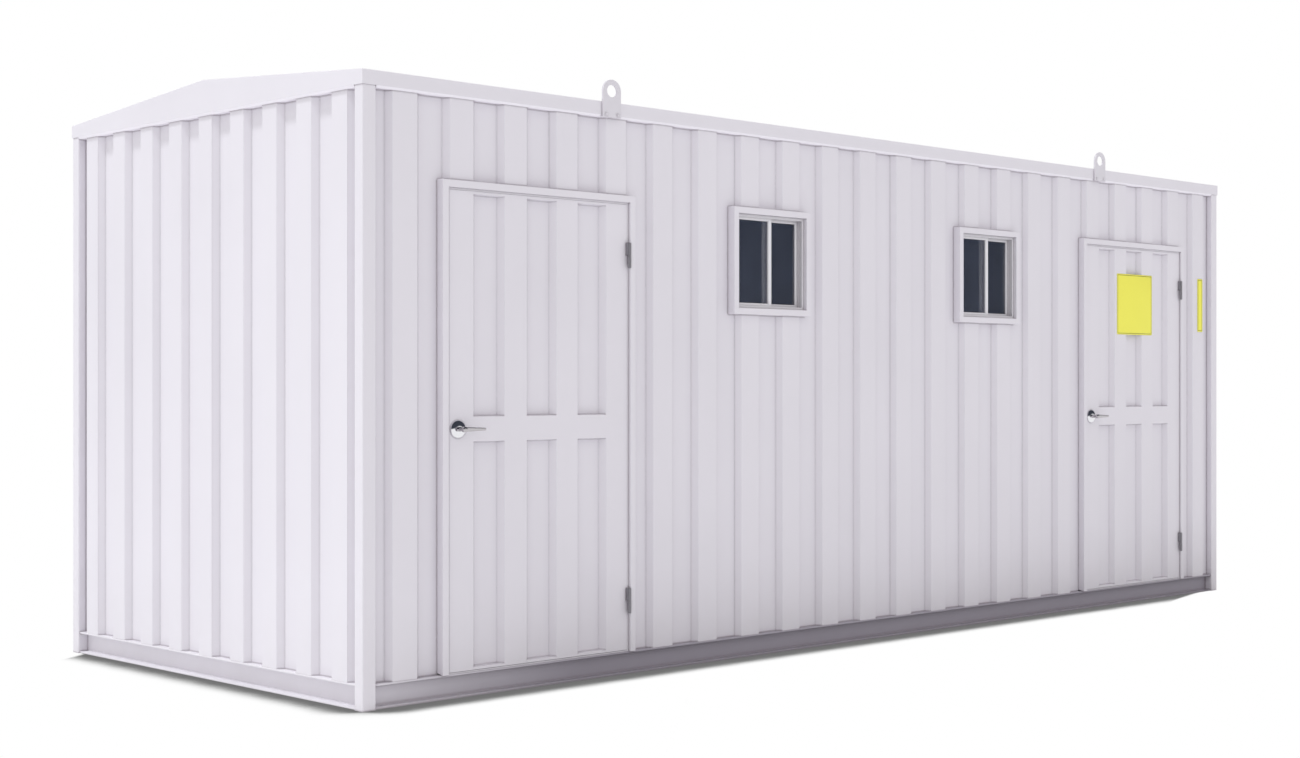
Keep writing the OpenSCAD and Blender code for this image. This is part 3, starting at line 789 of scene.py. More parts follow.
def ribbed(sheets, half, even_ribs, depth):
    """Line (u, v) of a ribbed sheet, its folds rounded: valleys at depth, crowns at 0."""
    reach = sheets.crown / 2 + sheets.flank
    shift = 0.5 if even_ribs else 0.0
    last = math.floor((half - reach - sheets.margin) / sheets.pitch - shift)
    ribs = (np.arange(-last - (1 if even_ribs else 0), last + 1) + shift) * sheets.pitch
    u = (ribs[:, None] + np.array([-reach, -sheets.crown / 2, sheets.crown / 2, reach])).ravel()
    v = np.tile([depth, 0.0, 0.0, depth], len(ribs))
    return bent(np.r_[-half, u, half], np.r_[depth, v, depth], sheets.bend)


def lap_lines(sheets, half):
    """Places u of the laps along a wall."""
    width = sheets.lap_ribs * sheets.pitch
    count = math.ceil(half / width)
    laps = LAP_START * sheets.pitch + np.arange(-count, count + 1) * width
    return laps[np.abs(laps) < half - LAP_MARGIN]


def lapped(sheets, u):
    """Sawtooth that lifts each sheet towards the edge that laps its neighbour."""
    return sheets.lap_step * (((u - LAP_START * sheets.pitch) / (sheets.lap_ribs * sheets.pitch)) % 1.0)


def openings(side):
    """Door and window openings of a wall, each from u to u and from z to z."""
    holes = []
    if side == "front":
        for hand, s in HANDS.items():
            low, high = box(f"{hand}_door_frame")
            holes.append((low[0], high[0], SHEET_LOW[2], high[2]))
            holes.append((s * WINDOW_X - WINDOW / 2, s * WINDOW_X + WINDOW / 2, TRIM_LOW[2], TRIM_HIGH[2]))
    return np.array(holes).reshape(-1, 4)


class CABIN_OT_wall_sheets(bpy.types.Operator):
    """Ribbed sheets on the four walls"""

    bl_idname = "cabin.wall_sheets"
    bl_label = "Wall sheets"

    def execute(self, context):
        """A rib line carried upwards on a grid of u and z lines, without the quads inside an opening."""
        sheets = context.scene.cabin_sheets
        depth = SHEET_BACK_V - CROWN_V - sheets.thickness
        for side, node in CLADDING.items():
            half, holes = half_length(side) - POST, openings(side)
            line, laps = ribbed(sheets, half, side in LONG_WALLS, depth), lap_lines(sheets, half)
            u = np.union1d(np.r_[line[:, 0], laps, laps - LAP_WIDTH], holes[:, :2])
            u = u[np.r_[True, np.diff(u) > SAME_PLACE]]
            z = np.union1d(np.linspace(SHEET_LOW[2], SHEET_HIGH[2], SHEET_LINES), holes[:, 2:])
            v = CROWN_V + np.interp(u, line[:, 0], line[:, 1]) - lapped(sheets, u) + sheets.lap_step
            keep = np.ones((len(z) - 1, len(u) - 1), bool)
            mu, mz = (u[1:] + u[:-1]) / 2, (z[1:, None] + z[:-1, None]) / 2
            for u0, u1, z0, z1 in holes:
                keep &= ~((mu > u0) & (mu < u1) & (mz > z0) & (mz < z1))
            grid = on_side(u, v, z[:, None], side)
            sheet = dress(node, "ribbed", [patch(grid, keep=keep)], "white_paint", closed=False)
            even(thick(sheet, sheets.thickness - CLEARANCE))
        return {"FINISHED"}


class CABIN_OT_roof(bpy.types.Operator):
    """Ribbed roof sheets, the ridge cap and the closers under it"""

    bl_idname = "cabin.roof"
    bl_label = "Roof"

    def execute(self, context):
        """A rib line carried up each slope; a closer fills the valleys under the cap; the cap is a bent strip
        carried along the ridge."""
        sheets = context.scene.cabin_sheets
        cos, sin = 1 / math.hypot(1, SLOPE), SLOPE / math.hypot(1, SLOPE)
        low, high = box("roof_sheet_front")
        span = high[1] + HALF_W
        crown_z, run = high[2] - span * SLOPE, span / cos
        u, d = ribbed(sheets, HALF_L, True, (high[2] - low[2]) / cos - run * SLOPE - sheets.thickness).T

        def on_slope(up, drop, side):
            """Points of the rib line, some way up the slope and some way below the crowns."""
            return on_side(u, up * cos + drop * sin, crown_z + up * sin - drop * cos, side)

        cap_low, cap_high = box("ridge_cap")
        half, top = cap_high[1], cap_high[2]
        under_cap = (HALF_W - half) / cos + CAP_INSET
        closers = []
        for side in LONG_WALLS:
            closers.append(patch(on_slope(under_cap, np.stack([d, 0 * d - CLEARANCE]), side)))
            grid = on_slope(np.array([[0.0], [run]]), d, side)
            sheet = dress(f"roof_sheet_{side}", "ribbed", [patch(grid)], "roof_paint", closed=False)
            even(thick(sheet, sheets.thickness))
        thick(piece("ridge_closers", closers, "seal_grey", slot="roof_paint", closed=False), sheets.closer)
        edge, t = top - half * SLOPE, sheets.cap
        section = rounded(
            [[-half, edge - t], [0, top - t], [half, edge - t], [half, edge], [0, top], [-half, edge]],
            CAP_FOLDS,
        )
        even(dress("ridge_cap", "bent", [along_x(section, cap_low[0], cap_high[0])], "roof_paint"))
        return {"FINISHED"}


# Fascia

PLATE_FOLDS = (0.0008, 0.0008, 0.002, 0.001, 0.001, 0.0045)  # radii round the fascia's section
SOFFIT_FOLDS = (0.0004, 0.002, 0.0006, 0.0006, 0.0008, 0.0006)  # radii round the soffit's section


class CABIN_OT_fascia(bpy.types.Operator):
    """Fascia plates with their lips, folds and soffits"""

    bl_idname = "cabin.fascia"
    bl_label = "Fascia"

    def execute(self, context):
        """A plate and lip section carried along each side to mitred corners, over the ridge on the gables;
        below it a folded section carried between the posts."""
        steel = context.scene.cabin_steel
        t, foot, top, back = steel.plate, FASCIA_LOW[2], EAVES_Z, SHEET_BACK_V
        edge, knee = foot + steel.fold, steel.fold - t
        plate = rounded(
            [[-t, edge], [0, edge], [0, top - t], [LIP_V, top - t], [LIP_V, top], [-t, top]],
            PLATE_FOLDS,
        )
        inner_knee = knee + t * math.tan(math.radians(22.5))
        soffit = rounded(
            [
                [-t, edge], [knee, foot], [back, foot],
                [back, foot + t], [inner_knee, foot + t], [-t / 2, edge + t / 2],
            ],
            SOFFIT_FOLDS,
        )
        v, z = plate.T
        lean = np.where(z > (edge + top) / 2, SLOPE, 0)
        for side, node in FASCIAS.items():
            half = half_length(side)
            eave, ridge = z + v * lean, z + half * lean
            if side in LONG_WALLS:
                u, heights = np.stack([v - half, half - v]), np.stack([eave, eave])
            else:
                u, heights = np.stack([v - half, 0 * v, half - v]), np.stack([eave, ridge, eave])
            even(dress(node, "folded", [loft(on_side(u, v, heights, side))], "hem_paint"))
            even(piece(f"soffit_{node}", [along_wall(soffit, half - POST, side)], "fold_lit_paint"))
        return {"FINISHED"}


# Lifting lugs

BOLT_INSET = (0.018, 0.0125)  # distance of a bolt from the lug's side and from its lower edge
BOLT_HEIGHT = 0.005
WASHER, WASHER_FACE = 1.45, 1.35  # radii of a washer and of its face, in bolt heads
WASHER_TOP = 0.0016
SUNK = 0.001  # depth to which a washer sits in the plate


def lug_plate(low, high, eye, edge):
    """Closed ring surface: at each angle about the eye a rounded section runs from the eye's edge to the
    plate's outline, which is a circle above and a box below."""
    half, t = (high[0] - low[0]) / 2, (high[1] - low[1]) / 2
    centre = np.array([(low[0] + high[0]) / 2, (low[1] + high[1]) / 2, high[2] - half])
    drop = centre[2] - low[2]
    corner = np.pi - math.atan2(half, drop)
    above, below = np.linspace(-np.pi / 2, np.pi / 2, 49), np.linspace(np.pi / 2, 3 * np.pi / 2, 33)
    angle = np.unique(np.r_[above, below, corner, 2 * np.pi - corner])[:-1, None]
    s, c = np.sin(angle), np.cos(angle)
    with np.errstate(divide="ignore"):
        outline = np.where(c > 0, half, np.minimum(half / np.abs(s), drop / np.abs(c)))
    bow = np.linspace(0, np.pi / 2, 4)
    rise, fall = edge * (1 - np.cos(bow)), edge * (1 - np.sin(bow))
    inset = np.r_[rise, fall, rise, fall]
    depth = np.r_[fall - t, rise - t, t - fall, t - rise]
    at_eye = np.repeat([True, False, False, True], len(bow))
    radius = np.where(at_eye, eye + inset, outline - inset)
    return loft(stacked(centre[0] + radius * s, centre[1] + depth, centre[2] + radius * c), closed=True)


def bolt_head(centre, out, radius):
    """Quarter ellipse on a washer, turned about the wall's depth."""
    turn = np.linspace(0, np.pi / 2, 8)[:-1]
    rim = WASHER * radius
    face, bore = WASHER_FACE * radius, 0.2 * radius
    washer = [[bore, -SUNK], [rim, -SUNK], [rim, 0.75 * WASHER_TOP], [face, WASHER_TOP]]
    head = np.stack([radius * np.cos(turn), WASHER_TOP + BOLT_HEIGHT * np.sin(turn)], 1)
    return revolve(np.concatenate([washer, head]), centre, count=24, out=out)


class CABIN_OT_lugs(bpy.types.Operator):
    """Lifting lugs and their bolts"""

    bl_idname = "cabin.lugs"
    bl_label = "Lifting lugs"

    def execute(self, context):
        """A ring surface for the plate of each lug, and two turned bolt heads on its outer face."""
        steel = context.scene.cabin_steel
        aside, up = BOLT_INSET
        for depth, out in (("front", -1), ("back", 1)):
            for hand in HANDS:
                node = f"lifting_lug_{depth}_{hand}"
                low, high = box(node)
                face = low[1] if depth == "front" else high[1]
                parts = [lug_plate(low, high, steel.eye, steel.edge)]
                for x in (low[0] + aside, high[0] - aside):
                    parts.append(bolt_head((x, face, low[2] + up), out, steel.bolt))
                even(dress(node, "plate", parts, "lug_shaded_paint"))
        return {"FINISHED"}


# Doors

FRAME_FOLDS = (0.0025, 0.0025, 0.001, 0.002, 0.002, 0.001)  # radii round the frame's section
ON_DECK = 0.031  # depth of the frame's inner part, which stands on the floor board
SEAL_FROM, SEAL_TO = 0.001, 0.021  # depths of a seal behind the leaf's face
SEAL_ROUND, SILL_ROUND = 0.0012, 0.0008
SILL_GAP = 0.0015
LEAF_EDGE = 0.0014
LEAF_EDGE_ANGLE = math.radians(70)


def round_door(section, low, high, foot):
    """Closed skin of a section (a, y) carried from a foot up, across and down a doorway with mitred corners:
    a point sits a inside the doorway's outline, at depth y."""
    a, y = section.T
    x = np.stack([low[0] + a, low[0] + a, high[0] - a, high[0] - a])
    z = np.stack([foot, high[2] - a, high[2] - a, foot])
    return loft(stacked(x, y, z))


def door_frame(hand, door):
    """Stepped section carried round the doorway; its inner part starts on the floor board."""
    node = f"{hand}_door_frame"
    low, high = box(node)
    stop, inner = box(f"{hand}_door_leaf")[1][1] + door.stop_gap, door.jamb + door.stop
    section = rounded(
        [[0, low[1]], [door.jamb, low[1]], [door.jamb, stop], [inner, stop], [inner, high[1]], [0, high[1]]],
        FRAME_FOLDS,
    )
    foot = np.where(section[:, 1] > high[1] - ON_DECK, DECK_TOP, low[2])
    even(dress(node, "folded", [round_door(section, low, high, foot)], "door_paint"))


def door_seal(hand, door):
    """Strip carried round the doorway in the gap of the leaf, and a sill strip carried between its feet."""
    low, high = box(f"{hand}_door_frame")
    leaf = box(f"{hand}_door_leaf")[0]
    near, far, inner = leaf[1] + SEAL_FROM, leaf[1] + SEAL_TO, door.jamb + door.seal
    strip = rounded(rectangle((door.jamb, near), (inner, far)), SEAL_ROUND)
    sill = rounded(rectangle((near, low[2]), (far, leaf[2] - SILL_GAP)), SILL_ROUND)
    parts = [
        round_door(strip, low, high, np.full(len(strip), low[2])),
        along_x(sill, low[0] + inner, high[0] - inner),
    ]
    piece(f"{hand}_door_seal", parts, "seal_grey", slot="hinge_steel")


def door_leaf(hand, door, sheets):
    """Grid whose depth is a rib line across times a panel line upwards, closed by edges and a flat back."""
    node = f"{hand}_door_leaf"
    low, high = box(node)
    pressed = [0, door.depth, door.depth, 0]
    rim_half = (sheets.pitch - sheets.crown) / 2
    floor_half = rim_half - sheets.flank
    panels = np.array([-1, 0, 1])[:, None] * sheets.pitch
    u = (panels + np.array([-rim_half, -floor_half, floor_half, rim_half])).ravel()
    half = (high[0] - low[0]) / 2
    across = bent(np.r_[-half, u, half], np.r_[0, np.tile(pressed, 3), 0], door.bend)
    rail = joint_at(f"{hand}_lever_turn")[2]
    rows = [[low[2] + door.border, rail - door.rail / 2], [rail + door.rail / 2, high[2] - door.border]]
    z = (np.repeat(rows, 2, 1) + np.array([0, 1, -1, 0]) * door.end_run).ravel()
    up = bent(np.r_[low[2], z, high[2]], np.r_[0, np.tile(pressed, 2), 0], door.bend)
    depth = across[:, 1] * up[:, 1:] / door.depth
    front = stacked((low[0] + high[0]) / 2 + across[:, 0], low[1] + depth, up[:, :1])
    back = front.copy()
    back[..., 1] = high[1]
    index = np.arange(depth.size).reshape(depth.shape)
    rim = np.r_[index[0, :-1], index[:-1, -1], index[-1, :0:-1], index[:0:-1, 0]]
    following = np.roll(rim, -1)
    edges = np.stack([rim, following, following + index.size, rim + index.size], 1)
    points, (quads,) = patch(front)
    skin = np.concatenate([points, back.reshape(-1, 3)]), [quads, quads + index.size, edges]
    leaf = dress(node, "pressed", [skin], "door_paint", body=f"{hand}_door")
    soften = leaf.modifiers.new("Edges", "BEVEL")
    soften.width = LEAF_EDGE
    soften.segments = 3
    soften.limit_method = "ANGLE"
    soften.angle_limit = LEAF_EDGE_ANGLE
    even(leaf)


class CABIN_OT_doors(bpy.types.Operator):
    """Door frames, pressed leaves and their seals"""

    bl_idname = "cabin.doors"
    bl_label = "Doors"

    def execute(self, context):
        """A frame and a seal on the cabin, and a leaf on each door."""
        for hand in HANDS:
            door_frame(hand, context.scene.cabin_doors)
            door_seal(hand, context.scene.cabin_doors)
            door_leaf(hand, context.scene.cabin_doors, context.scene.cabin_sheets)
        return {"FINISHED"}


# Hinges

HINGE_GAP = 0.0004  # half the slit between two barrels
HINGE_CHAMFER, HINGE_BORE = 0.12, 0.1  # in radii of a barrel
FLAG_ROUND = 0.0006


def hinge_half(axis, radius, foot, top, flag):
    """Barrel with chamfered ends, turned about the hinge axis, and its welded flag carried upwards."""
    cut, bore, length = HINGE_CHAMFER * radius, HINGE_BORE * radius, top - foot
    profile = [
        [bore, 0], [radius - cut, 0], [radius, cut],
        [radius, length - cut], [radius - cut, length], [bore, length],
    ]
    barrel = revolve(profile, (axis[0], axis[1], foot), count=32)
    return [barrel, upright(rounded(flag, FLAG_ROUND, steps=2), foot, top)]


class CABIN_OT_hinges(bpy.types.Operator):
    """Lift-off hinges"""

    bl_idname = "cabin.hinges"
    bl_label = "Hinges"

    def execute(self, context):
        """Each half is a turned barrel and a welded flag; upper halves ride on the doors."""
        steel, door = context.scene.cabin_steel, context.scene.cabin_doors
        pins_low = box("door_hinge_pins")[0]
        fixed = []
        for hand in HANDS:
            axis = joint_at(f"{hand}_door_swing")
            node = f"{hand}_door_hinge_barrels"
            low, high = box(node)
            frame_low, frame_high = box(f"{hand}_door_frame")
            radius, length = axis[1] - low[1], low[2] - pins_low[2]
            upper = rectangle((low[0], axis[1]), (low[0] + steel.flag, box(f"{hand}_door_leaf")[0][1]))
            lap = frame_low[1] + steel.flag_lap
            lower = rectangle((axis[0], lap - steel.flag), (frame_high[0] - door.jamb, lap))
            moving = []
            for z in (low[2], high[2] - length):
                moving += hinge_half(axis, radius, z + HINGE_GAP, z + length, upper)
                fixed += hinge_half(axis, radius, z - length, z - HINGE_GAP, lower)
            even(dress(node, "turned", moving, "hinge_steel", body=f"{hand}_door"))
        even(dress("door_hinge_pins", "turned", fixed, "hinge_steel"))
        return {"FINISHED"}


# Handles

ROSE_BORE = 0.004
ROSE_TOP = 0.011  # radius of a rose's flat top
ROSE_RIM = 0.0022  # height of a rose's upright rim
ROSE_EASE = (0.0005, 0.0006)  # chamfer above the rim, across and along
THIN_TIP = 0.82  # thickness of a lever at its tip, as a share of that at its root
SQUARENESS = 0.4  # power that makes a lever's section a rounded rectangle


def rose(centre, out, radius, proud):
    """Quarter ellipse on an upright rim, turned about the lever's axis."""
    turn = np.linspace(0, np.pi / 2, 20)
    across, along = ROSE_EASE
    rim = [[ROSE_BORE, 0.0], [radius, 0.0], [radius, ROSE_RIM - along]]
    reach, height = radius - ROSE_TOP - across, proud - ROSE_RIM
    dome = np.stack([ROSE_TOP + reach * np.cos(turn), ROSE_RIM + height * np.sin(turn)], 1)
    return revolve(np.concatenate([rim, dome, [[ROSE_BORE, proud]]]), centre, count=64, out=out)


def lever_neck(centre, out, handle, proud, tip):
    """Collar in the rose, slimmer neck and hub with a rounded edge, turned about the lever's axis."""
    root, hub, back = handle.neck / 2, handle.hub, tip - handle.bar
    collar, slim = 0.92 * root, 0.8 * root
    profile = [
        [0.3 * root, proud - 0.006], [collar, proud - 0.006], [collar, proud + 0.004], [slim, proud + 0.006],
        [slim, back - 0.006], [0.92 * hub, back - 0.0045], [hub, back - 0.0035], [hub, tip - 0.0022],
        [0.93 * hub, tip - 0.0007], [0.8 * hub, tip - 0.0001], [0.3 * root, tip],
    ]
    return revolve(profile, centre, count=40, out=out)


def lever_bar(centre, out, handle, reach, tip):
    """Rounded rectangle, made of powers of cosine and sine, carried from a round root to a round tip."""
    root, end = handle.neck / 2, reach - handle.tip
    bow = np.linspace(-np.pi / 2, 0, 13)[1:]
    bow_back = bow[-2::-1]
    straight = np.linspace(0, end, 12)[1:]
    taper = np.interp(straight, [0, end], [root, handle.tip])
    run = np.r_[root * np.sin(bow), straight, end - handle.tip * np.sin(bow_back)]
    tall = np.r_[root * np.cos(bow), taper, handle.tip * np.cos(bow_back)]
    thin = np.interp(run, [0, reach], [1.0, THIN_TIP]) * np.minimum(1.0, np.sqrt(tall / handle.tip))
    swing = np.linspace(0, 2 * np.pi, 40, endpoint=False)
    circle = np.stack([np.cos(swing), np.sin(swing)])
    flat = np.sign(circle) * np.abs(circle) ** SQUARENESS
    deep, high = handle.bar / 2 * thin[:, None] * flat[0], tall[:, None] * flat[1]
    cos, sin = math.cos(handle.lean), math.sin(handle.lean)
    depth = tip - handle.bar / 2 - root * sin + deep * cos + high * sin
    height = centre[2] + high * cos - deep * sin
    return loft(stacked(centre[0] + run[:, None], centre[1] + out * depth, height))


class CABIN_OT_handles(bpy.types.Operator):
    """Domed roses and lever handles"""

    bl_idname = "cabin.handles"
    bl_label = "Handles"

    def execute(self, context):
        """On each face of a door a domed rose, and a lever that is a shaped bar on a turned neck."""
        handle = context.scene.cabin_handles
        for hand in HANDS:
            axis = joint_at(f"{hand}_lever_turn")
            leaf_low, leaf_high = box(f"{hand}_door_leaf")
            rose_low, rose_high = box(f"{hand}_door_roses")
            lever_low, lever_high = box(f"{hand}_door_lever")
            outer_rose = (rose_high[2] - rose_low[2]) / 2
            reach = lever_high[0] - axis[0]
            roses, levers = [], []
            for out, leaf, rose_at, lever_at, radius in (
                (-1, leaf_low, rose_low, lever_low, outer_rose),
                (1, leaf_high, rose_high, lever_high, handle.inner_rose),
            ):
                centre = (axis[0], leaf[1], axis[2])
                proud, tip = out * (rose_at[1] - leaf[1]), out * (lever_at[1] - leaf[1])
                roses.append(rose(centre, out, radius, proud))
                levers.append(lever_neck(centre, out, handle, proud, tip))
                levers.append(lever_bar(centre, out, handle, reach, tip))
            dress(f"{hand}_door_roses", "domed", roses, "handle_metal", body=f"{hand}_door")
            dress(f"{hand}_door_lever", "shaped", levers, "satin_metal", body=f"{hand}_lever")
        return {"FINISHED"}


# Windows

TRIM_FOLDS = (0.0025, 0.0025, 0.0006, 0.0006)  # radii round the trim's section
TRACK_ROUND, SASH_ROUND = 0.0007, 0.0009


class CABIN_OT_windows(bpy.types.Operator):
    """Window trims, frames and sashes"""

    bl_idname = "cabin.windows"
    bl_label = "Windows"

    def execute(self, context):
        """Trims, two-track frames and sashes are sections carried round rectangles with mitred corners."""
        window = context.scene.cabin_windows
        low, high = box("window_frames")
        sash_low, sash_high = box("window_sashes")
        trim = rounded(rectangle((0, TRIM_LOW[1]), (window.trim, TRIM_HIGH[1])), TRIM_FOLDS)
        t, lip, floor = window.lip_t, window.lip, window.floor
        track = (high[1] - low[1] - 3 * t) / 2
        depths = low[1] + np.repeat(np.cumsum([0, t, track, t, track, t]), 2)
        inwards = [0, lip, lip, floor, floor, lip, lip, floor, floor, lip, lip, 0]
        tracks = rounded(np.stack([inwards, depths], 1), TRACK_ROUND, steps=2)
        size, face, bead = (high[2] - low[2]) / 2, window.sash, window.bead
        width = size - floor + face / 2
        trims, frames, sashes = [], [], []
        for s in HANDS.values():
            x = s * WINDOW_X
            trims.append(ringed(trim, (x - WINDOW / 2, TRIM_LOW[2]), (x + WINDOW / 2, TRIM_HIGH[2])))
            frames.append(ringed(tracks, (x - size, low[2]), (x + size, high[2])))
            for front, left in (
                (sash_low[1], x - size + floor),
                (sash_high[1] - window.sash_t, x + size - floor - width),
            ):
                back = front + window.sash_t
                sash = rounded(
                    [
                        [0, front], [face - bead, front], [face, front + bead],
                        [face, back - bead], [face - bead, back], [0, back],
                    ],
                    SASH_ROUND, steps=2,
                )
                sashes.append(ringed(sash, (left, sash_low[2]), (left + width, sash_high[2])))
        even(dress("window_trims", "mitred", trims, "door_paint"))
        even(dress("window_frames", "tracked", frames, "window_white"))
        even(dress("window_sashes", "beaded", sashes, "window_white"))
        return {"FINISHED"}


# Yellow plates

DOOR_PLATE = np.array([[1.967, 1.562], [2.315, 1.914]])  # lowest and highest corner, x and z
RIB_PLATE = np.array([[2.798, 1.593], [2.852, 1.915]])
PLATE_ROUND = 0.006
PLATE_EDGE = 0.0008  # inset of a plate's face from its outline
PLATE_LAYERS = (0.0003, -0.0011, -0.0016)  # depths of a plate's back, edge and face
BORDER_INSET, BORDER = 0.006, 0.0022
BORDER_LAYERS = (-0.0014, -0.0018)


class CABIN_OT_plates(bpy.types.Operator):
    """Bare yellow plates"""

    bl_idname = "cabin.plates"
    bl_label = "Yellow plates"

    def execute(self, context):
        """Each plate is a rounded rectangle carried a millimetre and a half out from the ribs it lies on, and
        its border is a thin section carried round a rectangle."""
        for name, body, face, (low, high) in (
            ("door_plate", "right_door", box("right_door_leaf")[0][1], DOOR_PLATE),
            ("rib_plate", "cabin", SHEET_LOW[1], RIB_PLATE),
        ):
            outline = rounded(rectangle(low, high), PLATE_ROUND, steps=5)
            middle = outline.mean(0)
            inner = middle + (outline - middle) * (1 - PLATE_EDGE / np.abs(outline - middle).max(0))
            rings = np.stack([outline, outline, inner])
            depths = face + np.array(PLATE_LAYERS)[:, None]
            plate = loft(stacked(rings[..., 0], depths, rings[..., 1]))
            piece(name, [plate], "yellow_plate", body=body, angle=30.0)
            section = rectangle((0, face + BORDER_LAYERS[0]), (BORDER, face + BORDER_LAYERS[1]))
            border = ringed(section, low + BORDER_INSET, high - BORDER_INSET)
            piece(f"{name}_border", [border], "print_black", body=body, slot="hinge_steel")
        return {"FINISHED"}


# Studio

WHITE = (1.0, 1.0, 1.0)
FLOOR_REACH = 80.0
FLOOR_DROP = 0.0006
SHADOW_OPEN = (0.67, 0.96)  # open share of the surroundings where the contact shadow is deepest and gone
SHADOW_TONE = 0.17  # tone of the deepest contact shadow
FRONT_DARK = 0.09  # open share that the floor before the front loses
FRONT_CORE = 0.3  # share of the front shadow's depth that is fully dark
FRONT_ENDS = 0.5  # length of the front shadow's fading ends, in its depths
FRONT_START = 4.0  # length over which the floor before the front darkens from the left, in shadow depths
FRONT_LIGHT = 0.3  # share of light that the floor before the front still sends back
FAR_CORNERS = (1.88, 2.0)  # place, in half lengths and half widths, where the shadow fades at two corners
HORIZON = (-0.02, 0.1)  # heights between which the white surroundings turn into the ceiling
SENSOR = 36.0  # width in millimetres
CLIP_END = 300.0


def emptied(owner):
    """Node tree of a material or world, without its nodes."""
    owner.use_nodes = True
    owner.node_tree.nodes.clear()
    return owner.node_tree


def studio_floor(stage):
    """Square that is white but for a painted contact shadow where it is looked at or mirrored, and that sends
    light back elsewhere, less of it before the front, where a painted shadow darkens it."""
    material = bpy.data.materials.new("studio_floor")
    tree = emptied(material)
    place = apart(tree, add(tree, "ShaderNodeTexCoord")["Object"])
    x, y = place["X"], place["Y"]
    off = combine(tree, "ABSOLUTE", combine(tree, "ADD", y, HALF_W))
    strip = ramp(tree, off, stage.shadow, FRONT_CORE * stage.shadow)
    within = ramp(tree, combine(tree, "ABSOLUTE", x), HALF_L, HALF_L - FRONT_ENDS * stage.shadow)
    front = combine(tree, "MULTIPLY", strip, within)
    begun = ramp(tree, x, -HALF_L, FRONT_START * stage.shadow - HALF_L)
    dark = combine(tree, "MULTIPLY", front, begun)
    slant = combine(tree, "MULTIPLY_ADD", x, 1 / HALF_L, combine(tree, "MULTIPLY", y, -1 / HALF_W))
    corner = ramp(tree, combine(tree, "ABSOLUTE", slant), *FAR_CORNERS)
    near = openness(tree, stage.contact, samples=16)
    clear = combine(tree, "ADD", combine(tree, "MULTIPLY_ADD", front, -FRONT_DARK, near), corner)
    tone = ramp(tree, clear, *SHADOW_OPEN, SHADOW_TONE, 1.0, interpolation_type="SMOOTHSTEP")
    sent = ramp(tree, dark, 0.0, 1.0, stage.floor, FRONT_LIGHT * stage.floor)
    matt = add(tree, "ShaderNodeBsdfDiffuse", {"Color": sent})[0]
    seen = add(tree, "ShaderNodeEmission", {"Color": tone})[0]
    looked = rays(tree, "Camera", "Glossy", "Transmission")
    mix = add(tree, "ShaderNodeMixShader", {0: looked, 1: matt, 2: seen})[0]
    put(tree, mix, tree.nodes.new("ShaderNodeOutputMaterial").inputs["Surface"])
    corners = rectangle((-FLOOR_REACH, -FLOOR_REACH), (FLOOR_REACH, FLOOR_REACH))
    mesh = bpy.data.meshes.new("studio_floor")
    mesh.from_pydata(stacked(*corners.T, -FLOOR_DROP), [], [[0, 1, 2, 3]])
    mesh.materials.append(material)
    return bpy.data.objects.new("studio_floor", mesh)


def studio_world(stage):
    """White for the camera; white below a dark ceiling for polished metal and glass; even light otherwise."""
    world = bpy.data.worlds.new("studio")
    tree = emptied(world)
    height = apart(tree, add(tree, "ShaderNodeTexCoord")["Generated"])["Z"]
    mirrored = mixed(tree, ramp(tree, height, *HORIZON), WHITE, stage.ceiling)
    lit = mixed(tree, rays(tree, "Glossy", "Transmission"), stage.ambient, mirrored)
    shown = mixed(tree, rays(tree, "Camera"), lit, WHITE)
    back = add(tree, "ShaderNodeBackground", {"Color": shown})[0]
    put(tree, back, tree.nodes.new("ShaderNodeOutputWorld").inputs["Surface"])
    return world


def key_light(stage):
    """Sun that shines from a direction."""
    sun = bpy.data.lights.new("key_light", "SUN")
    sun.energy = stage.sun
    sun.angle = stage.sun_angle
    sun.color = stage.sun_tint
    key = bpy.data.objects.new("key_light", sun)
    key.rotation_euler = (-Vector(stage.sun_from)).to_track_quat("-Z", "Y").to_euler()
    return key


def studio_camera(stage):
    """Level camera with a shifted lens."""
    lens = bpy.data.cameras.new("camera")
    lens.lens = stage.lens
    lens.sensor_width = SENSOR
    lens.shift_x, lens.shift_y = stage.shift
    lens.clip_end = CLIP_END
    camera = bpy.data.objects.new("camera", lens)
    camera.location = stage.eye
    camera.rotation_euler = (math.pi / 2, 0.0, stage.heading)
    return camera


class CABIN_OT_stage(bpy.types.Operator):
    """White studio: floor, key light, light from all round, and the camera"""

    bl_idname = "cabin.stage"
    bl_label = "Studio"

    def execute(self, context):
        """The floor keeps a contact shadow; the camera sees white round it."""
        scene = context.scene
        floor = studio_floor(scene.cabin_stage)
        scene.world = studio_world(scene.cabin_stage)
        scene.camera = studio_camera(scene.cabin_stage)
        for obj in (floor, key_light(scene.cabin_stage), scene.camera):
            scene.collection.objects.link(obj)
        scene.view_settings.view_transform = "Standard"
        return {"FINISHED"}


# Panel and registration

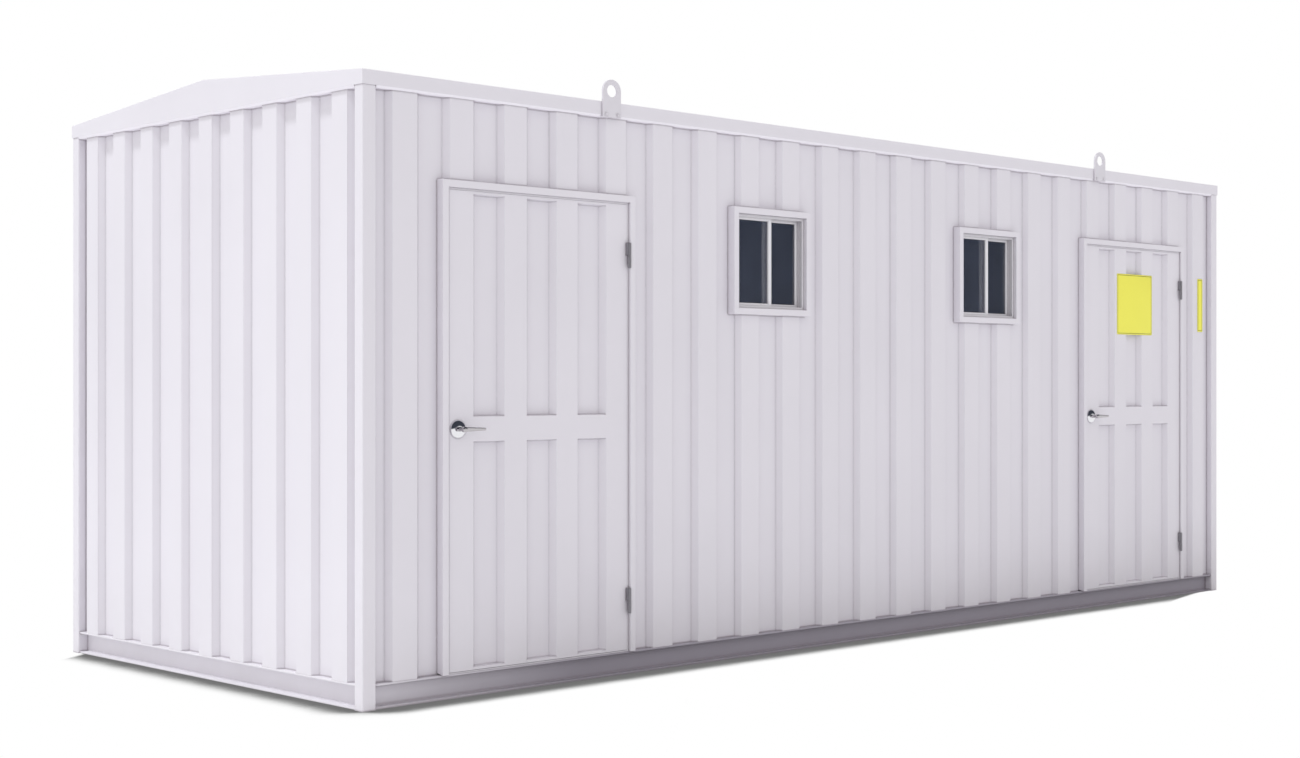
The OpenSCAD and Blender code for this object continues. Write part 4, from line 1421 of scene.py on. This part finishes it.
class CABIN_PT_panel(bpy.types.Panel):
    """Cabin settings and steps"""

    bl_idname = "CABIN_PT_panel"
    bl_label = "Portable Site Cabin"
    bl_space_type = "VIEW_3D"
    bl_region_type = "UI"
    bl_category = "Cabin"

    def draw(self, context):
        """Settings group by group, then the steps in order."""
        for group, name in GROUPS.items():
            column = self.layout.column(align=True)
            for key in group.__annotations__:
                column.prop(getattr(context.scene, name), key)
        for step in STEPS:
            self.layout.operator(step.bl_idname)


GROUPS = {
    CabinSheetSettings: "cabin_sheets",
    CabinSteelSettings: "cabin_steel",
    CabinDoorSettings: "cabin_doors",
    CabinHandleSettings: "cabin_handles",
    CabinWindowSettings: "cabin_windows",
    CabinFinishSettings: "cabin_finishes",
    CabinStageSettings: "cabin_stage",
}
STEPS = (
    CABIN_OT_finishes,
    CABIN_OT_steel_frame,
    CABIN_OT_wall_sheets,
    CABIN_OT_roof,
    CABIN_OT_fascia,
    CABIN_OT_lugs,
    CABIN_OT_doors,
    CABIN_OT_hinges,
    CABIN_OT_handles,
    CABIN_OT_windows,
    CABIN_OT_plates,
    CABIN_OT_stage,
)


def register():
    """Adds the settings, steps and panel."""
    for group, name in GROUPS.items():
        bpy.utils.register_class(group)
        setattr(bpy.types.Scene, name, PointerProperty(type=group))
    for step in STEPS:
        bpy.utils.register_class(step)
    bpy.utils.register_class(CABIN_PT_panel)


def unregister():
    """Takes them away again."""
    bpy.utils.unregister_class(CABIN_PT_panel)
    for step in reversed(STEPS):
        bpy.utils.unregister_class(step)
    for group, name in reversed(GROUPS.items()):
        delattr(bpy.types.Scene, name)
        bpy.utils.unregister_class(group)


def main():
    """Builds the cabin step by step."""
    register()
    bpy.ops.cabin.finishes()
    bpy.ops.cabin.steel_frame()
    bpy.ops.cabin.wall_sheets()
    bpy.ops.cabin.roof()
    bpy.ops.cabin.fascia()
    bpy.ops.cabin.lugs()
    bpy.ops.cabin.doors()
    bpy.ops.cabin.hinges()
    bpy.ops.cabin.handles()
    bpy.ops.cabin.windows()
    bpy.ops.cabin.plates()
    bpy.ops.cabin.stage()


if __name__ == "__main__":
    main()
